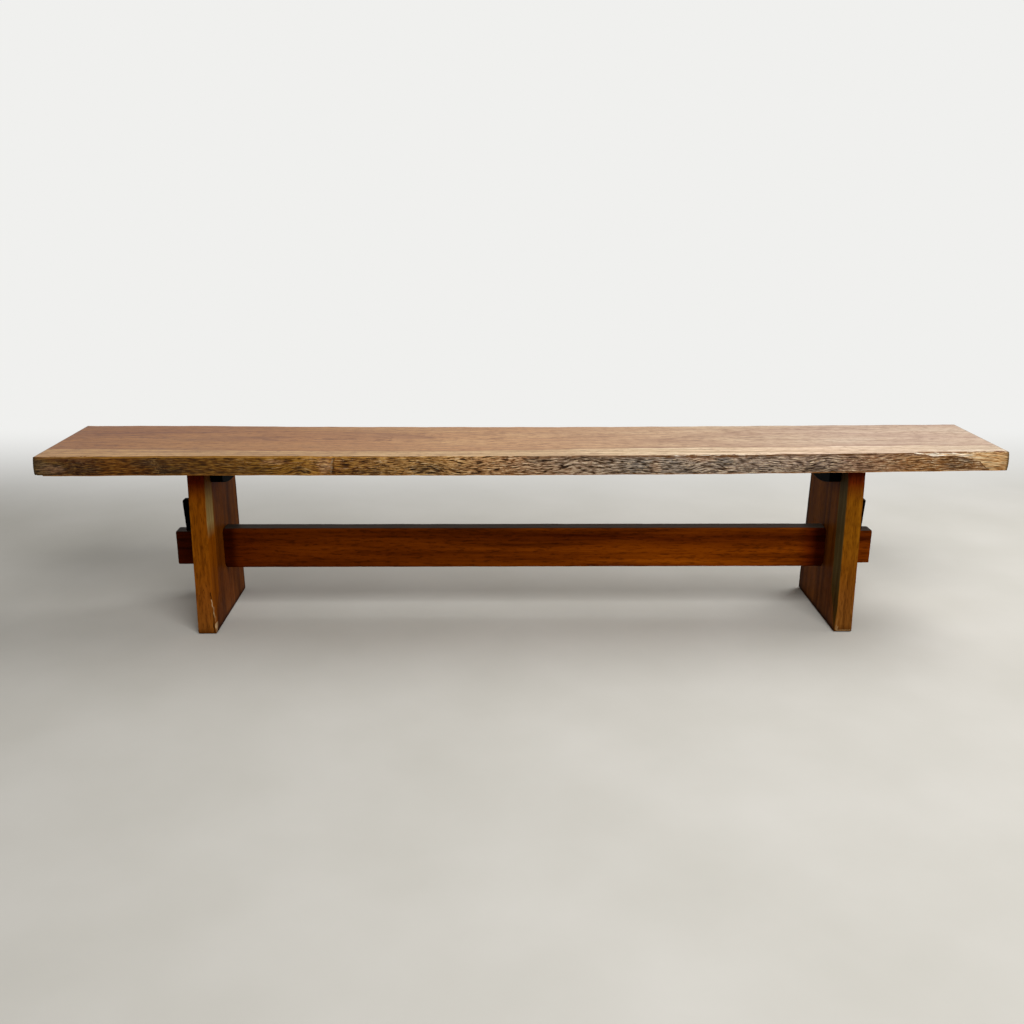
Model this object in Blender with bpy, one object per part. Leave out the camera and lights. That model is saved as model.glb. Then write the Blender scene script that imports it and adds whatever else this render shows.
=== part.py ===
"""Live edge bench: a natural-edged slab seat on two slab legs, tied by a wedged stretcher.

Metres, +Z up. X runs along the seat, -Y is the front, where the live edge shows.
The origin is on the floor, under the middle of the seat.
"""

import math

import bmesh
import bpy
from mathutils import Matrix, Vector

# Seat
SEAT_HEIGHT = 0.430
SEAT_THICKNESS = 0.043
SEAT_DEPTH = 0.300
SEAT_OVERHANG = 0.316
SEAT_STATIONS = 84
SEAT_END_EASE = 0.0016
SEAT_ARRIS_EASE = 0.0012

# How the two long edges wander in plan, as the log grew: each pair is the place along
# the seat, from -1 at the left end to 1 at the right, and the reach beyond half the depth
FRONT_EDGE = (
    (-1.00, 0.0270),
    (-0.86, 0.0225),
    (-0.66, 0.0180),
    (-0.26, 0.0200),
    (-0.04, 0.0180),
    (0.15, 0.0135),
    (0.35, 0.0090),
    (0.56, 0.0000),
    (0.77, -0.0110),
    (1.00, -0.0235),
)
REAR_EDGE = (
    (-1.00, -0.0104),
    (-0.74, -0.0095),
    (-0.51, -0.0180),
    (-0.06, -0.0204),
    (0.17, -0.0180),
    (0.40, -0.0104),
    (0.64, -0.0005),
    (1.00, 0.0120),
)

# Natural shape of the live edges: how far the barkless face swells, leans and ripples
FRONT_SWELL = 0.0030
FRONT_LEAN = 0.0025
REAR_SWELL = 0.0025
REAR_LEAN = -0.0060
RIPPLE_DEPTH = 0.0011
RIPPLE_LENGTH = 0.155
EDGE_FACE_STEPS = 6
CORNER_WANE_RUN = 0.050
CORNER_WANE_LIFT = 0.0032
CORNER_WANE_WIDTH = 0.020

# Base: legs and stretcher, moved a little from the middle of the uneven seat
BASE_SHIFT_X = -0.004
BASE_SHIFT_Y = 0.007
LEG_OUTER_X = 0.763
LEG_THICKNESS = 0.044
LEG_FOOT_DEPTH = 0.290
LEG_TOP_DEPTH = 0.251
LEG_CORNER_RADIUS = 0.003
LEG_FOOT_EASE = 0.0025
LEG_TOP_EASE = 0.0010
LEG_STATIONS = 18

# Broad shallow bevel on the inner face of each leg, down its front edge
WANE_WIDTH = 0.044
WANE_DEPTH = 0.0045
WANE_FOOT_RUN = 0.060
WANE_TOP_RUN = 0.050
WANE_TOP_SHARE = 0.35

# Stretcher and its through tenons
STRETCHER_THICKNESS = 0.037
STRETCHER_OFFSET_Y = -0.007
STRETCHER_BOTTOM = 0.1197
STRETCHER_HEIGHT = 0.0992
STRETCHER_EASE = 0.0020
TENON_LOWER_SHOULDER = 0.0089
TENON_UPPER_SHOULDER = 0.0076
TENON_PROJECTION = 0.0690
TENON_EASE = 0.0025

# Tusk wedges, which stand in the tenons against the legs' outer faces
WEDGE_HEAD_RISE = 0.0762
WEDGE_TIP_RISE = 0.0069
WEDGE_WIDTH_AT_TENON = 0.0450
WEDGE_THICKNESS = 0.0160
WEDGE_TAPER = math.radians(3.0)
WEDGE_TOP_RADIUS = 0.0060
WEDGE_TOP_STEPS = 6
WEDGE_TIP_EASE = 0.0040
WEDGE_EDGE_EASE = 0.0010
WEDGE_DRAW = 0.0040

# Cleats, which carry the screws that hold the seat down
CLEAT_SETBACK = 0.0300
CLEAT_WIDTH = 0.027
CLEAT_END_HEIGHT = 0.034
CLEAT_BELLY = 0.0165
CLEAT_EASE = 0.0015
CLEAT_ARC_STEPS = 20

# Countersunk wood screws
SCREW_DIAMETER = 0.0045
SCREW_HEAD_DIAMETER = 0.0088
SCREW_HEAD_RIM = 0.0004
SCREW_HEAD_HEIGHT = 0.0028
SCREW_TIP_LENGTH = 0.0060
SCREW_POINT_RADIUS = 0.0006
SCREW_SLOT_WIDTH = 0.0011
SCREW_SLOT_DEPTH = 0.0010
SCREW_SIDES = 16
SEAT_SCREW_GRIP = 0.0220
SEAT_SCREW_INSET = 0.0250
SEAT_SCREW_SINK = 0.0080
LEG_SCREW_GRIP = 0.0180
LEG_SCREW_SPACING = 0.080
LEG_SCREW_SINK = 0.0010

# Clearances
SEAT_GAP = 0.0003
JOINT_GAP = 0.0003
SCREW_GAP = 0.0003

seat_end_x = LEG_OUTER_X + SEAT_OVERHANG
seat_underside = SEAT_HEIGHT - SEAT_THICKNESS
leg_top = seat_underside - SEAT_GAP
leg_inner_x = LEG_OUTER_X - LEG_THICKNESS
leg_centre_x = LEG_OUTER_X - LEG_THICKNESS / 2
stretcher_y = BASE_SHIFT_Y + STRETCHER_OFFSET_Y
stretcher_top = STRETCHER_BOTTOM + STRETCHER_HEIGHT
tenon_bottom = STRETCHER_BOTTOM + TENON_LOWER_SHOULDER
tenon_top = stretcher_top - TENON_UPPER_SHOULDER
tenon_end_x = LEG_OUTER_X + TENON_PROJECTION
wedge_top = tenon_top + WEDGE_HEAD_RISE
wedge_bottom = tenon_bottom + WEDGE_TIP_RISE
cleat_length = LEG_TOP_DEPTH - 2 * CLEAT_SETBACK
cleat_outer_x = leg_inner_x - JOINT_GAP
cleat_inner_x = cleat_outer_x - CLEAT_WIDTH
cleat_centre_x = (cleat_outer_x + cleat_inner_x) / 2
cleat_top = seat_underside - SEAT_GAP

SIDES = (("left", -1), ("right", 1))
ENDS = (("front", -1), ("rear", 1))
TOUCH = 1e-5
CUT_PAST = 0.010


def clear_scene():
    for item in list(bpy.data.objects):
        bpy.data.objects.remove(item, do_unlink=True)


def linear(value):
    """One sRGB channel from 0 to 255, as linear light."""
    share = value / 255
    if share <= 0.04045:
        return share / 12.92
    return ((share + 0.055) / 1.055) ** 2.4


def make_material(name, red, green, blue, roughness, metallic=0.0):
    material = bpy.data.materials.new(name)
    material.use_nodes = True
    shader = material.node_tree.nodes["Principled BSDF"]
    shader.inputs["Base Color"].default_value = (linear(red), linear(green), linear(blue), 1)
    shader.inputs["Roughness"].default_value = roughness
    shader.inputs["Metallic"].default_value = metallic
    return material


def add_object(name, mesh_builder, material, location=(0, 0, 0)):
    """A named object that takes the bmesh, with its normals facing out."""
    bmesh.ops.recalc_face_normals(mesh_builder, faces=mesh_builder.faces)
    mesh = bpy.data.meshes.new(name)
    mesh_builder.to_mesh(mesh)
    mesh_builder.free()
    item = bpy.data.objects.new(name, mesh)
    item.location = location
    if material is not None:
        mesh.materials.append(material)
    bpy.context.scene.collection.objects.link(item)
    return item


def smooth_sides(item, angle=35):
    item.data.shade_smooth()
    item.data.set_sharp_from_angle(angle=math.radians(angle))


def cut(item, cutter):
    """Cuts a piece with a guide solid, which stays hidden in renders."""
    cutter.hide_render = True
    cutter.display_type = "WIRE"
    modifier = item.modifiers.new("cut_" + cutter.name, "BOOLEAN")
    modifier.operation = "DIFFERENCE"
    modifier.object = cutter


def loft(rings):
    """A closed solid through rings of equal point counts, capped at both ends."""
    builder = bmesh.new()
    loops = [[builder.verts.new(point) for point in ring] for ring in rings]
    count = len(loops[0])
    for near, far in zip(loops, loops[1:]):
        for i in range(count):
            j = (i + 1) % count
            builder.faces.new((near[i], near[j], far[j], far[i]))
    builder.faces.new(loops[0])
    builder.faces.new(loops[-1])
    return builder


def extrude_outline(points, direction):
    """A flat outline pushed along one direction into a prism."""
    builder = bmesh.new()
    base = builder.faces.new([builder.verts.new(point) for point in points])
    result = bmesh.ops.extrude_face_region(builder, geom=[base])
    moved = [part for part in result["geom"] if isinstance(part, bmesh.types.BMVert)]
    bmesh.ops.translate(builder, verts=moved, vec=direction)
    return builder


def box(low, high):
    builder = bmesh.new()
    bmesh.ops.create_cube(builder, size=1)
    size = Vector(high) - Vector(low)
    middle = (Vector(high) + Vector(low)) / 2
    bmesh.ops.scale(builder, vec=size, verts=builder.verts)
    bmesh.ops.translate(builder, vec=middle, verts=builder.verts)
    return builder


def turned(profile, turn):
    """A solid turned about Z from (radius, z) points, then turned to its own axis."""
    builder = bmesh.new()
    verts = [builder.verts.new((radius, 0, z)) for radius, z in profile]
    edges = [builder.edges.new(pair) for pair in zip(verts, verts[1:])]
    bmesh.ops.spin(
        builder,
        geom=verts + edges,
        axis=(0, 0, 1),
        cent=(0, 0, 0),
        angle=math.tau,
        steps=SCREW_SIDES,
        use_merge=True,
    )
    bmesh.ops.remove_doubles(builder, verts=builder.verts, dist=1e-6)
    bmesh.ops.transform(builder, matrix=turn, verts=builder.verts)
    return builder


def curve_value(points, x):
    """Height of a smooth curve through the points, at one x."""
    last = len(points) - 2
    k = 0
    while k < last and x > points[k + 1][0]:
        k += 1
    (x0, y0), (x1, y1) = points[k], points[k + 1]
    before = points[k - 1] if k > 0 else points[k]
    after = points[k + 2] if k < last else points[k + 1]
    slope0 = (y1 - before[1]) / (x1 - before[0])
    slope1 = (after[1] - y0) / (after[0] - x0)
    span = x1 - x0
    t = (x - x0) / span
    rise = y0 * (2 * t**3 - 3 * t**2 + 1) + y1 * (3 * t**2 - 2 * t**3)
    return rise + span * (slope0 * (t**3 - 2 * t**2 + t) + slope1 * (t**3 - t**2))


def lower_arris_lift(x):
    """The lower front corner is waney at the left end, where the arris curls up a little."""
    share = max(0, 1 - (x + seat_end_x) / CORNER_WANE_RUN)
    return CORNER_WANE_LIFT * share * share


def live_face(edge, x, outward, swell, lean, phase):
    """Points (y, z) down one live edge at x, from the top arris to the lower one."""
    y_edge = SEAT_DEPTH / 2 + curve_value(edge, x / seat_end_x)
    points = []
    for step in range(EDGE_FACE_STEPS + 1):
        t = step / EDGE_FACE_STEPS
        wave = math.sin(math.tau * x / RIPPLE_LENGTH + phase + 2.2 * t)
        wave += 0.6 * math.sin(math.tau * x / (0.43 * RIPPLE_LENGTH) + 1.7 * phase - 3.1 * t)
        body = swell * math.sin(math.pi * t) + lean * t + RIPPLE_DEPTH * wave
        points.append((outward * (y_edge + body), -SEAT_THICKNESS * t))
    return points


def seat_ring(x, inset):
    """The seat's cross-section at x, drawn in by the inset for an eased end."""
    front = live_face(FRONT_EDGE, x, -1, FRONT_SWELL, FRONT_LEAN, 0.4)
    rear = live_face(REAR_EDGE, x, 1, REAR_SWELL, REAR_LEAN, 2.1)
    ease = SEAT_ARRIS_EASE
    low = -SEAT_THICKNESS
    lift = lower_arris_lift(x)
    front_y, front_low_y = front[0][0], front[-1][0]
    rear_y, rear_low_y = rear[0][0], rear[-1][0]
    section = [(front_y + ease, 0), (front_y, -ease)]
    section += front[1:-1]
    section += [(front_low_y, low + ease + lift), (front_low_y + ease, low + lift)]
    section += [(front_low_y + CORNER_WANE_WIDTH, low), (rear_low_y - ease, low)]
    section += [(rear_low_y, low + ease)]
    section += rear[-2:0:-1]
    section += [(rear_y, -ease), (rear_y - ease, 0)]
    middle_y = (front_y + rear_y) / 2
    shrink_y = 1 - inset / ((rear_y - front_y) / 2)
    shrink_z = 1 - inset / (SEAT_THICKNESS / 2)
    ring = []
    for y, z in section:
        level = low / 2 + (z - low / 2) * shrink_z
        ring.append((x, middle_y + (y - middle_y) * shrink_y, level))
    return ring


def make_seat(material):
    run = seat_end_x - SEAT_END_EASE
    rings = [seat_ring(-seat_end_x, SEAT_END_EASE)]
    for k in range(SEAT_STATIONS + 1):
        rings.append(seat_ring(-run + 2 * run * k / SEAT_STATIONS, 0))
    rings.append(seat_ring(seat_end_x, SEAT_END_EASE))
    reach = [point[1] for ring in rings for point in ring]
    middle = (min(reach) + max(reach)) / 2
    rings = [[(x, y - middle, z) for x, y, z in ring] for ring in rings]
    seat = add_object("seat_slab", loft(rings), material, (0, 0, SEAT_HEIGHT))
    smooth_sides(seat)
    return seat


def corner_arc(centre, radius, start, count=3):
    """Points of a quarter turn that rounds one corner, in degrees from the start."""
    points = []
    for k in range(count + 1):
        angle = math.radians(start + 90 * k / count)
        points.append((centre[0] + radius * math.cos(angle), centre[1] + radius * math.sin(angle)))
    return points


def leg_ring(z, inset):
    """A level cut through the right leg, with its outer face at +X and origin at its middle."""
    share = z / leg_top
    half_depth = (LEG_FOOT_DEPTH + (LEG_TOP_DEPTH - LEG_FOOT_DEPTH) * share) / 2 - inset
    half_width = LEG_THICKNESS / 2 - inset
    radius = LEG_CORNER_RADIUS
    fade = min(1, z / WANE_FOOT_RUN, (leg_top - z) / WANE_TOP_RUN + WANE_TOP_SHARE)
    wane = fade * fade * (3 - 2 * fade)
    depth = WANE_DEPTH * wane
    width = radius + (WANE_WIDTH - radius) * wane
    in_x, in_y = half_width - radius, half_depth - radius
    outline = corner_arc((in_x, -in_y), radius, 270)
    outline += corner_arc((in_x, in_y), radius, 0)
    outline += corner_arc((-in_x, in_y), radius, 90)
    outline += [(-half_width, -half_depth + width)]
    outline += corner_arc((-in_x + depth, -in_y), radius, 180)
    return [(x, y, z) for x, y in outline]


def make_leg(side, sign, material):
    """One slab leg, shaped as the right one and mirrored for the left."""
    rings = [leg_ring(0, LEG_FOOT_EASE), leg_ring(LEG_FOOT_EASE, 0)]
    run = leg_top - LEG_TOP_EASE - LEG_FOOT_EASE
    for k in range(1, LEG_STATIONS + 1):
        rings.append(leg_ring(LEG_FOOT_EASE + run * k / LEG_STATIONS, 0))
    rings.append(leg_ring(leg_top, LEG_TOP_EASE))
    if sign < 0:
        rings = [[(-x, y, z) for x, y, z in ring] for ring in rings]
    place = (BASE_SHIFT_X + sign * leg_centre_x, BASE_SHIFT_Y, 0)
    leg = add_object("leg_" + side, loft(rings), material, place)
    smooth_sides(leg)
    cut_x = LEG_THICKNESS / 2 + CUT_PAST
    cut_y = STRETCHER_THICKNESS / 2 + JOINT_GAP
    low = (-cut_x, STRETCHER_OFFSET_Y - cut_y, tenon_bottom - JOINT_GAP)
    high = (cut_x, STRETCHER_OFFSET_Y + cut_y, tenon_top + JOINT_GAP)
    cut(leg, add_object("leg_mortise_" + side, box(low, high), None, place))
    return leg


def ease_edges(builder, edges, width, segments=2):
    """Rounds over the chosen edges."""
    bmesh.ops.bevel(
        builder,
        geom=edges,
        offset=width,
        offset_type="OFFSET",
        segments=segments,
        profile=0.5,
        affect="EDGES",
        clamp_overlap=True,
    )


def make_stretcher(material):
    """The stretcher, with a shouldered through tenon at each end."""
    body = leg_inner_x - JOINT_GAP
    right = [
        (body, STRETCHER_BOTTOM),
        (body, tenon_bottom),
        (tenon_end_x, tenon_bottom),
        (tenon_end_x, tenon_top),
        (body, tenon_top),
        (body, stretcher_top),
    ]
    outline = right + [(-x, z) for x, z in reversed(right)]
    half = STRETCHER_THICKNESS / 2
    points = [(x, -half, z) for x, z in outline]
    builder = extrude_outline(points, (0, STRETCHER_THICKNESS, 0))
    long_arrises = [edge for edge in builder.edges if edge.calc_length() > 2 * body - TOUCH]
    ease_edges(builder, long_arrises, STRETCHER_EASE)
    end_arrises = []
    for edge in builder.edges:
        at_tenon_end = all(abs(v.co.x) > tenon_end_x - TOUCH for v in edge.verts)
        if at_tenon_end and edge.calc_length() < STRETCHER_HEIGHT:
            end_arrises.append(edge)
    ease_edges(builder, end_arrises, TENON_EASE)
    place = (BASE_SHIFT_X, stretcher_y, 0)
    stretcher = add_object("stretcher", builder, material, place)
    smooth_sides(stretcher)
    for side, sign in SIDES:
        cutter = add_object("tusk_mortise_" + side, tusk_mortise(sign), None, place)
        cut(stretcher, cutter)
    return stretcher


def wedge_outer_x(z):
    """How far past the leg's outer face the wedge's sloping side stands at height z."""
    return WEDGE_WIDTH_AT_TENON + (z - tenon_top) * math.tan(WEDGE_TAPER)


def tusk_mortise(sign):
    """The slot through a tenon: one wall slopes with the wedge, one lies inside the leg."""
    low, high = tenon_bottom - CUT_PAST, tenon_top + CUT_PAST
    inner = LEG_OUTER_X - WEDGE_DRAW
    outline = [
        (inner, low),
        (LEG_OUTER_X + wedge_outer_x(low) + JOINT_GAP, low),
        (LEG_OUTER_X + wedge_outer_x(high) + JOINT_GAP, high),
        (inner, high),
    ]
    half = WEDGE_THICKNESS / 2 + JOINT_GAP
    points = [(sign * x, -half, z) for x, z in outline]
    return extrude_outline(points, (0, 2 * half, 0))


def make_wedge(side, sign, material):
    """A tusk wedge: upright against the leg, sloping outside, with a rounded top corner."""
    inner = JOINT_GAP
    radius = WEDGE_TOP_RADIUS
    tip = WEDGE_TIP_EASE
    centre_x = wedge_outer_x(wedge_top) - radius
    arc = []
    for k in range(WEDGE_TOP_STEPS + 1):
        angle = math.radians(90 * k / WEDGE_TOP_STEPS)
        arc.append((centre_x + radius * math.cos(angle), wedge_top - radius + radius * math.sin(angle)))
    outline = [(inner + tip / 2, wedge_bottom)]
    outline += [(wedge_outer_x(wedge_bottom) - tip / 2, wedge_bottom)]
    outline += [(wedge_outer_x(wedge_bottom + tip), wedge_bottom + tip)]
    outline += arc
    outline += [(inner + WEDGE_EDGE_EASE, wedge_top), (inner, wedge_top - WEDGE_EDGE_EASE)]
    outline += [(inner, wedge_bottom + tip)]
    half = WEDGE_THICKNESS / 2
    points = [(sign * x, -half, z - wedge_bottom) for x, z in outline]
    builder = extrude_outline(points, (0, WEDGE_THICKNESS, 0))
    builder.normal_update()
    broad_faces = [face for face in builder.faces if abs(face.normal.y) > 0.5]
    outlines = {edge for face in broad_faces for edge in face.edges}
    ease_edges(builder, list(outlines), WEDGE_EDGE_EASE, 1)
    place = (BASE_SHIFT_X + sign * LEG_OUTER_X, stretcher_y, wedge_bottom)
    wedge = add_object("wedge_" + side, builder, material, place)
    smooth_sides(wedge)
    return wedge


def cleat_height(y):
    """How tall the cleat is at y: its lower side is a shallow arc, deepest in the middle."""
    half = cleat_length / 2
    radius = (half**2 + CLEAT_BELLY**2) / (2 * CLEAT_BELLY)
    return CLEAT_END_HEIGHT + CLEAT_BELLY - (radius - math.sqrt(radius**2 - y**2))


def make_cleat(side, sign, material):
    half = cleat_length / 2
    outline = [(half, 0), (-half, 0)]
    for k in range(CLEAT_ARC_STEPS + 1):
        y = -half + cleat_length * k / CLEAT_ARC_STEPS
        outline.append((y, -cleat_height(y)))
    width = CLEAT_WIDTH / 2
    points = [(-width, y, z) for y, z in outline]
    builder = extrude_outline(points, (CLEAT_WIDTH, 0, 0))
    room_side = -sign * width
    arrises = [edge for edge in builder.edges if all(abs(v.co.x - room_side) < TOUCH for v in edge.verts)]
    free = [edge for edge in arrises if any(v.co.z < -TOUCH for v in edge.verts)]
    ease_edges(builder, free, CLEAT_EASE)
    place = (BASE_SHIFT_X + sign * cleat_centre_x, BASE_SHIFT_Y, cleat_top)
    cleat = add_object("cleat_" + side, builder, material, place)
    smooth_sides(cleat)
    return cleat


def screw_profile(length):
    """Half the outline of a countersunk screw whose flat head lies at z = 0."""
    head = SCREW_HEAD_DIAMETER / 2
    shank = SCREW_DIAMETER / 2
    profile = [(0, 0), (head, 0), (head, -SCREW_HEAD_RIM), (shank, -SCREW_HEAD_HEIGHT)]
    profile += [(shank, SCREW_TIP_LENGTH - length), (SCREW_POINT_RADIUS, SCREW_POINT_RADIUS - length)]
    profile += [(0, -length)]
    return profile


def hole_profile(length, recess):
    """The screw's outline grown by the clearance, with an open recess above the head."""
    head = SCREW_HEAD_DIAMETER / 2 + SCREW_GAP
    shank = SCREW_DIAMETER / 2 + SCREW_GAP
    point = SCREW_POINT_RADIUS + SCREW_GAP
    profile = [(0, recess), (head, recess), (head, -SCREW_HEAD_RIM - SCREW_GAP)]
    profile += [(shank, -SCREW_HEAD_HEIGHT - SCREW_GAP), (shank, SCREW_TIP_LENGTH - length)]
    profile += [(point, point - length - 2 * SCREW_GAP), (0, -length - SCREW_GAP)]
    return profile


def make_screw(name, place, turn, length, sink, carriers, material):
    """A slotted screw, and the hole for it through the pieces that it joins."""
    screw = add_object(name, turned(screw_profile(length), turn), material, place)
    smooth_sides(screw)
    slot = box(
        (-SCREW_HEAD_DIAMETER, -SCREW_SLOT_WIDTH / 2, -SCREW_SLOT_DEPTH),
        (SCREW_HEAD_DIAMETER, SCREW_SLOT_WIDTH / 2, SCREW_SLOT_DEPTH),
    )
    bmesh.ops.transform(slot, matrix=turn, verts=slot.verts)
    cut(screw, add_object(name + "_slot", slot, None, place))
    hole = add_object(name + "_hole", turned(hole_profile(length, 2 * sink), turn), None, place)
    for carrier in carriers:
        cut(carrier, hole)


def make_seat_screw(side, sign, end, way, carriers, material):
    """One screw straight up through a cleat into the seat."""
    y = way * (cleat_length / 2 - SEAT_SCREW_INSET)
    head_drop = cleat_height(y) - SEAT_SCREW_SINK
    place = (BASE_SHIFT_X + sign * cleat_centre_x, BASE_SHIFT_Y + y, cleat_top - head_drop)
    length = head_drop + SEAT_GAP + SEAT_SCREW_GRIP
    turn = Matrix.Rotation(math.pi, 4, "X")
    make_screw(f"seat_screw_{side}_{end}", place, turn, length, SEAT_SCREW_SINK, carriers, material)


def make_leg_screw(side, sign, end, way, carriers, material):
    """One screw level through a cleat into its leg."""
    y = way * LEG_SCREW_SPACING / 2
    x = cleat_inner_x + LEG_SCREW_SINK
    place = (BASE_SHIFT_X + sign * x, BASE_SHIFT_Y + y, cleat_top - cleat_height(y) / 2)
    length = CLEAT_WIDTH - LEG_SCREW_SINK + JOINT_GAP + LEG_SCREW_GRIP
    turn = Matrix.Rotation(-sign * math.pi / 2, 4, "Y")
    make_screw(f"leg_screw_{side}_{end}", place, turn, length, LEG_SCREW_SINK, carriers, material)


def build():
    clear_scene()
    oiled_slab = make_material("oiled_slab", 190, 146, 116, 0.55)
    stained_leg = make_material("stained_leg", 122, 74, 28, 0.38)
    red_stretcher = make_material("red_stretcher", 104, 50, 20, 0.35)
    ebonised = make_material("ebonised_wood", 20, 17, 15, 0.45)
    steel = make_material("steel", 120, 116, 108, 0.4, 1.0)
    seat = make_seat(oiled_slab)
    make_stretcher(red_stretcher)
    for side, sign in SIDES:
        leg = make_leg(side, sign, stained_leg)
        cleat = make_cleat(side, sign, ebonised)
        make_wedge(side, sign, ebonised)
        for end, way in ENDS:
            make_seat_screw(side, sign, end, way, (seat, cleat), steel)
            make_leg_screw(side, sign, end, way, (leg, cleat), steel)
    bpy.context.view_layer.update()


build()
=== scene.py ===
# Live edge bench: the looks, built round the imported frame.
# Metres, +Z up. X runs along the seat, and the live edge faces -Y, the front.
import math

import bmesh
import bpy
from mathutils import Matrix, Vector, noise
from mathutils.bvhtree import BVHTree


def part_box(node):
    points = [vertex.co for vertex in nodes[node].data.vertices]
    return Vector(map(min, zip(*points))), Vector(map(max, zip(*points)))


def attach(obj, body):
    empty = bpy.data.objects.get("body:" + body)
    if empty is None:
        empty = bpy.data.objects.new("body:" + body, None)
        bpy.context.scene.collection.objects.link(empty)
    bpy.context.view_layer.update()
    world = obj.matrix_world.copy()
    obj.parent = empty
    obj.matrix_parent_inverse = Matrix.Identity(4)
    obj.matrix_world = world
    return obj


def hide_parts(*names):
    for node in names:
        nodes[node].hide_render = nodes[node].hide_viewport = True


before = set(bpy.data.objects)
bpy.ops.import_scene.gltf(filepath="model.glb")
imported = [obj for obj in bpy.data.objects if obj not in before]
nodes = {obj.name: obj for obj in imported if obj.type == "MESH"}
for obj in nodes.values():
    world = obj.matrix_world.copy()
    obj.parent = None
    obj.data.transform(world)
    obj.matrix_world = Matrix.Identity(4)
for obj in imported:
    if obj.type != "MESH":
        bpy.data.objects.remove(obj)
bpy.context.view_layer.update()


# Small helpers

def hexColour(code):
    # an sRGB hex value as linear light, with alpha 1
    parts = [int(code[k:k + 2], 16) / 255 for k in (0, 2, 4)]
    return [p / 12.92 if p <= 0.04045 else ((p + 0.055) / 1.055) ** 2.4 for p in parts] + [1]


def addNode(tree, kind, settings=None, links=None, stops=None):
    # one shader node: settings are attributes or input values, links feed inputs, stops fill a ramp;
    # a link may name a node, which stands for its first output in use
    node = tree.nodes.new("ShaderNode" + kind)
    if kind == "Mix":
        node.data_type = "RGBA"      # every mix here is of colours
    for key, value in (settings or {}).items():
        if isinstance(key, int) or key in node.inputs:
            node.inputs[key].default_value = value
        else:
            setattr(node, key, value)
    for key, source in (links or {}).items():
        if isinstance(source, bpy.types.Node):
            source = next(socket for socket in source.outputs if socket.enabled)
        tree.links.new(source, node.inputs[key])
    if stops:
        ramp = node.color_ramp.elements
        while len(ramp) < len(stops):
            ramp.new(1)
        for element, (place, code) in zip(ramp, stops):
            element.position = place
            element.color = hexColour(code)
    return node


def newMaterial(name):
    material = bpy.data.materials.new(name)
    material.use_nodes = True
    tree = material.node_tree
    tree.nodes.clear()
    return material, tree


def finishMaterial(tree, settings, links):
    shader = addNode(tree, "BsdfPrincipled", settings, links)
    addNode(tree, "OutputMaterial", {}, {"Surface": shader})


def deselectAll():
    if bpy.context.object and bpy.context.object.mode != "OBJECT":
        bpy.ops.object.mode_set(mode="OBJECT")
    bpy.ops.object.select_all(action="DESELECT")


def makeActive(piece):
    deselectAll()
    piece.select_set(True)
    bpy.context.view_layer.objects.active = piece


def applyModifier(piece, name, kind, settings):
    makeActive(piece)
    modifier = piece.modifiers.new(name, kind)
    for key, value in settings.items():
        setattr(modifier, key, value)
    bpy.ops.object.modifier_apply(modifier=name)


def addBlock(name, low, high):
    # a cube primitive at its size and place, its object left at the origin
    deselectAll()
    middle = (Vector(low) + Vector(high)) / 2
    bpy.ops.mesh.primitive_cube_add(size=1, location=middle, scale=Vector(high) - Vector(low))
    bpy.ops.object.transform_apply(location=True, rotation=True, scale=True)
    piece = bpy.context.object
    piece.name = name
    return piece


def selectEdges(piece, wanted):
    # in edit mode: selects only the edges that the test takes
    bpy.ops.mesh.select_mode(type="EDGE")
    bpy.ops.mesh.select_all(action="DESELECT")
    builder = bmesh.from_edit_mesh(piece.data)
    for edge in builder.edges:
        edge.select_set(wanted(edge))
    bmesh.update_edit_mesh(piece.data)


def selectFaces(piece, wanted):
    bpy.ops.mesh.select_mode(type="FACE")
    bpy.ops.mesh.select_all(action="DESELECT")
    builder = bmesh.from_edit_mesh(piece.data)
    for face in builder.faces:
        face.select_set(wanted(face))
    bmesh.update_edit_mesh(piece.data)


def runsAlong(axis):
    def test(edge):
        step = edge.verts[1].co - edge.verts[0].co
        return abs(step[axis]) > 0.999 * step.length
    return test


def textureFor(kind, name, settings):
    texture = bpy.data.textures.new(name, kind)
    for key, value in settings.items():
        setattr(texture, key, value)
    return texture


# Seat slab

slab = {
    "columnsFirst": 75,            # along the slab, cut in two steps
    "columnsSecond": 13,
    "frontLevels": 38,             # rows down the live face in front
    "rearLevels": 16,
    "arris": 0.0014,               # softening of the long corners
    "topRows": (0.0035, 0.006, 0.010, 0.018, 0.045, 0.100),   # distance in from each edge
    "ridgeLength": 0.028,          # cambium ridges: long interwoven lenses
    "ridgeHeight": 0.0038,
    "ridgeDepth": 0.0022,
    "rearRidgeDepth": 0.0014,
    "undercut": 0.0014,            # ragged crevice just under the sapwood
    "undercutDrop": 0.0036,
    "undercutSpread": 0.0014,
    "sway": (0.120, 0.060, 0.0065),   # how the fibres wander: length, height, reach
    "curl": (0.038, 0.018, 0.0019),
    "creaseWidth": 0.15,           # share of the way from one ridge to the next
    "hollows": (0.10, 0.030, 0.0016),   # broad shallow hollows: length, height, depth
    "faceBand": (0.0030, 0.0004),  # how far in from the faces the relief fades
    "stainGrain": (0.014, 0.0035),  # ragged outline of the stains
    "ringGap": 0.0065,             # growth rings
    "pith": (0, -0.03, -0.27),     # puts their centre below the slab
    "halfLength": 1.08,
    "seamPlace": -0.433,           # upright seam across the live edge
    "seamWidth": 0.0030,
    "seamDepth": 0.0009,
    "tearReach": 0.0095,           # torn upper corner
    "tearDrop": 0.0065,
    "longSplinter": 0.021,
    "shortSplinter": 0.006,
    "bareWave": 0.024,             # how the line under the bare wood wanders, and how it frays:
    "bareFray": (0.020, 0.0028, 0.0034),   # length, height, reach
}
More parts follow.
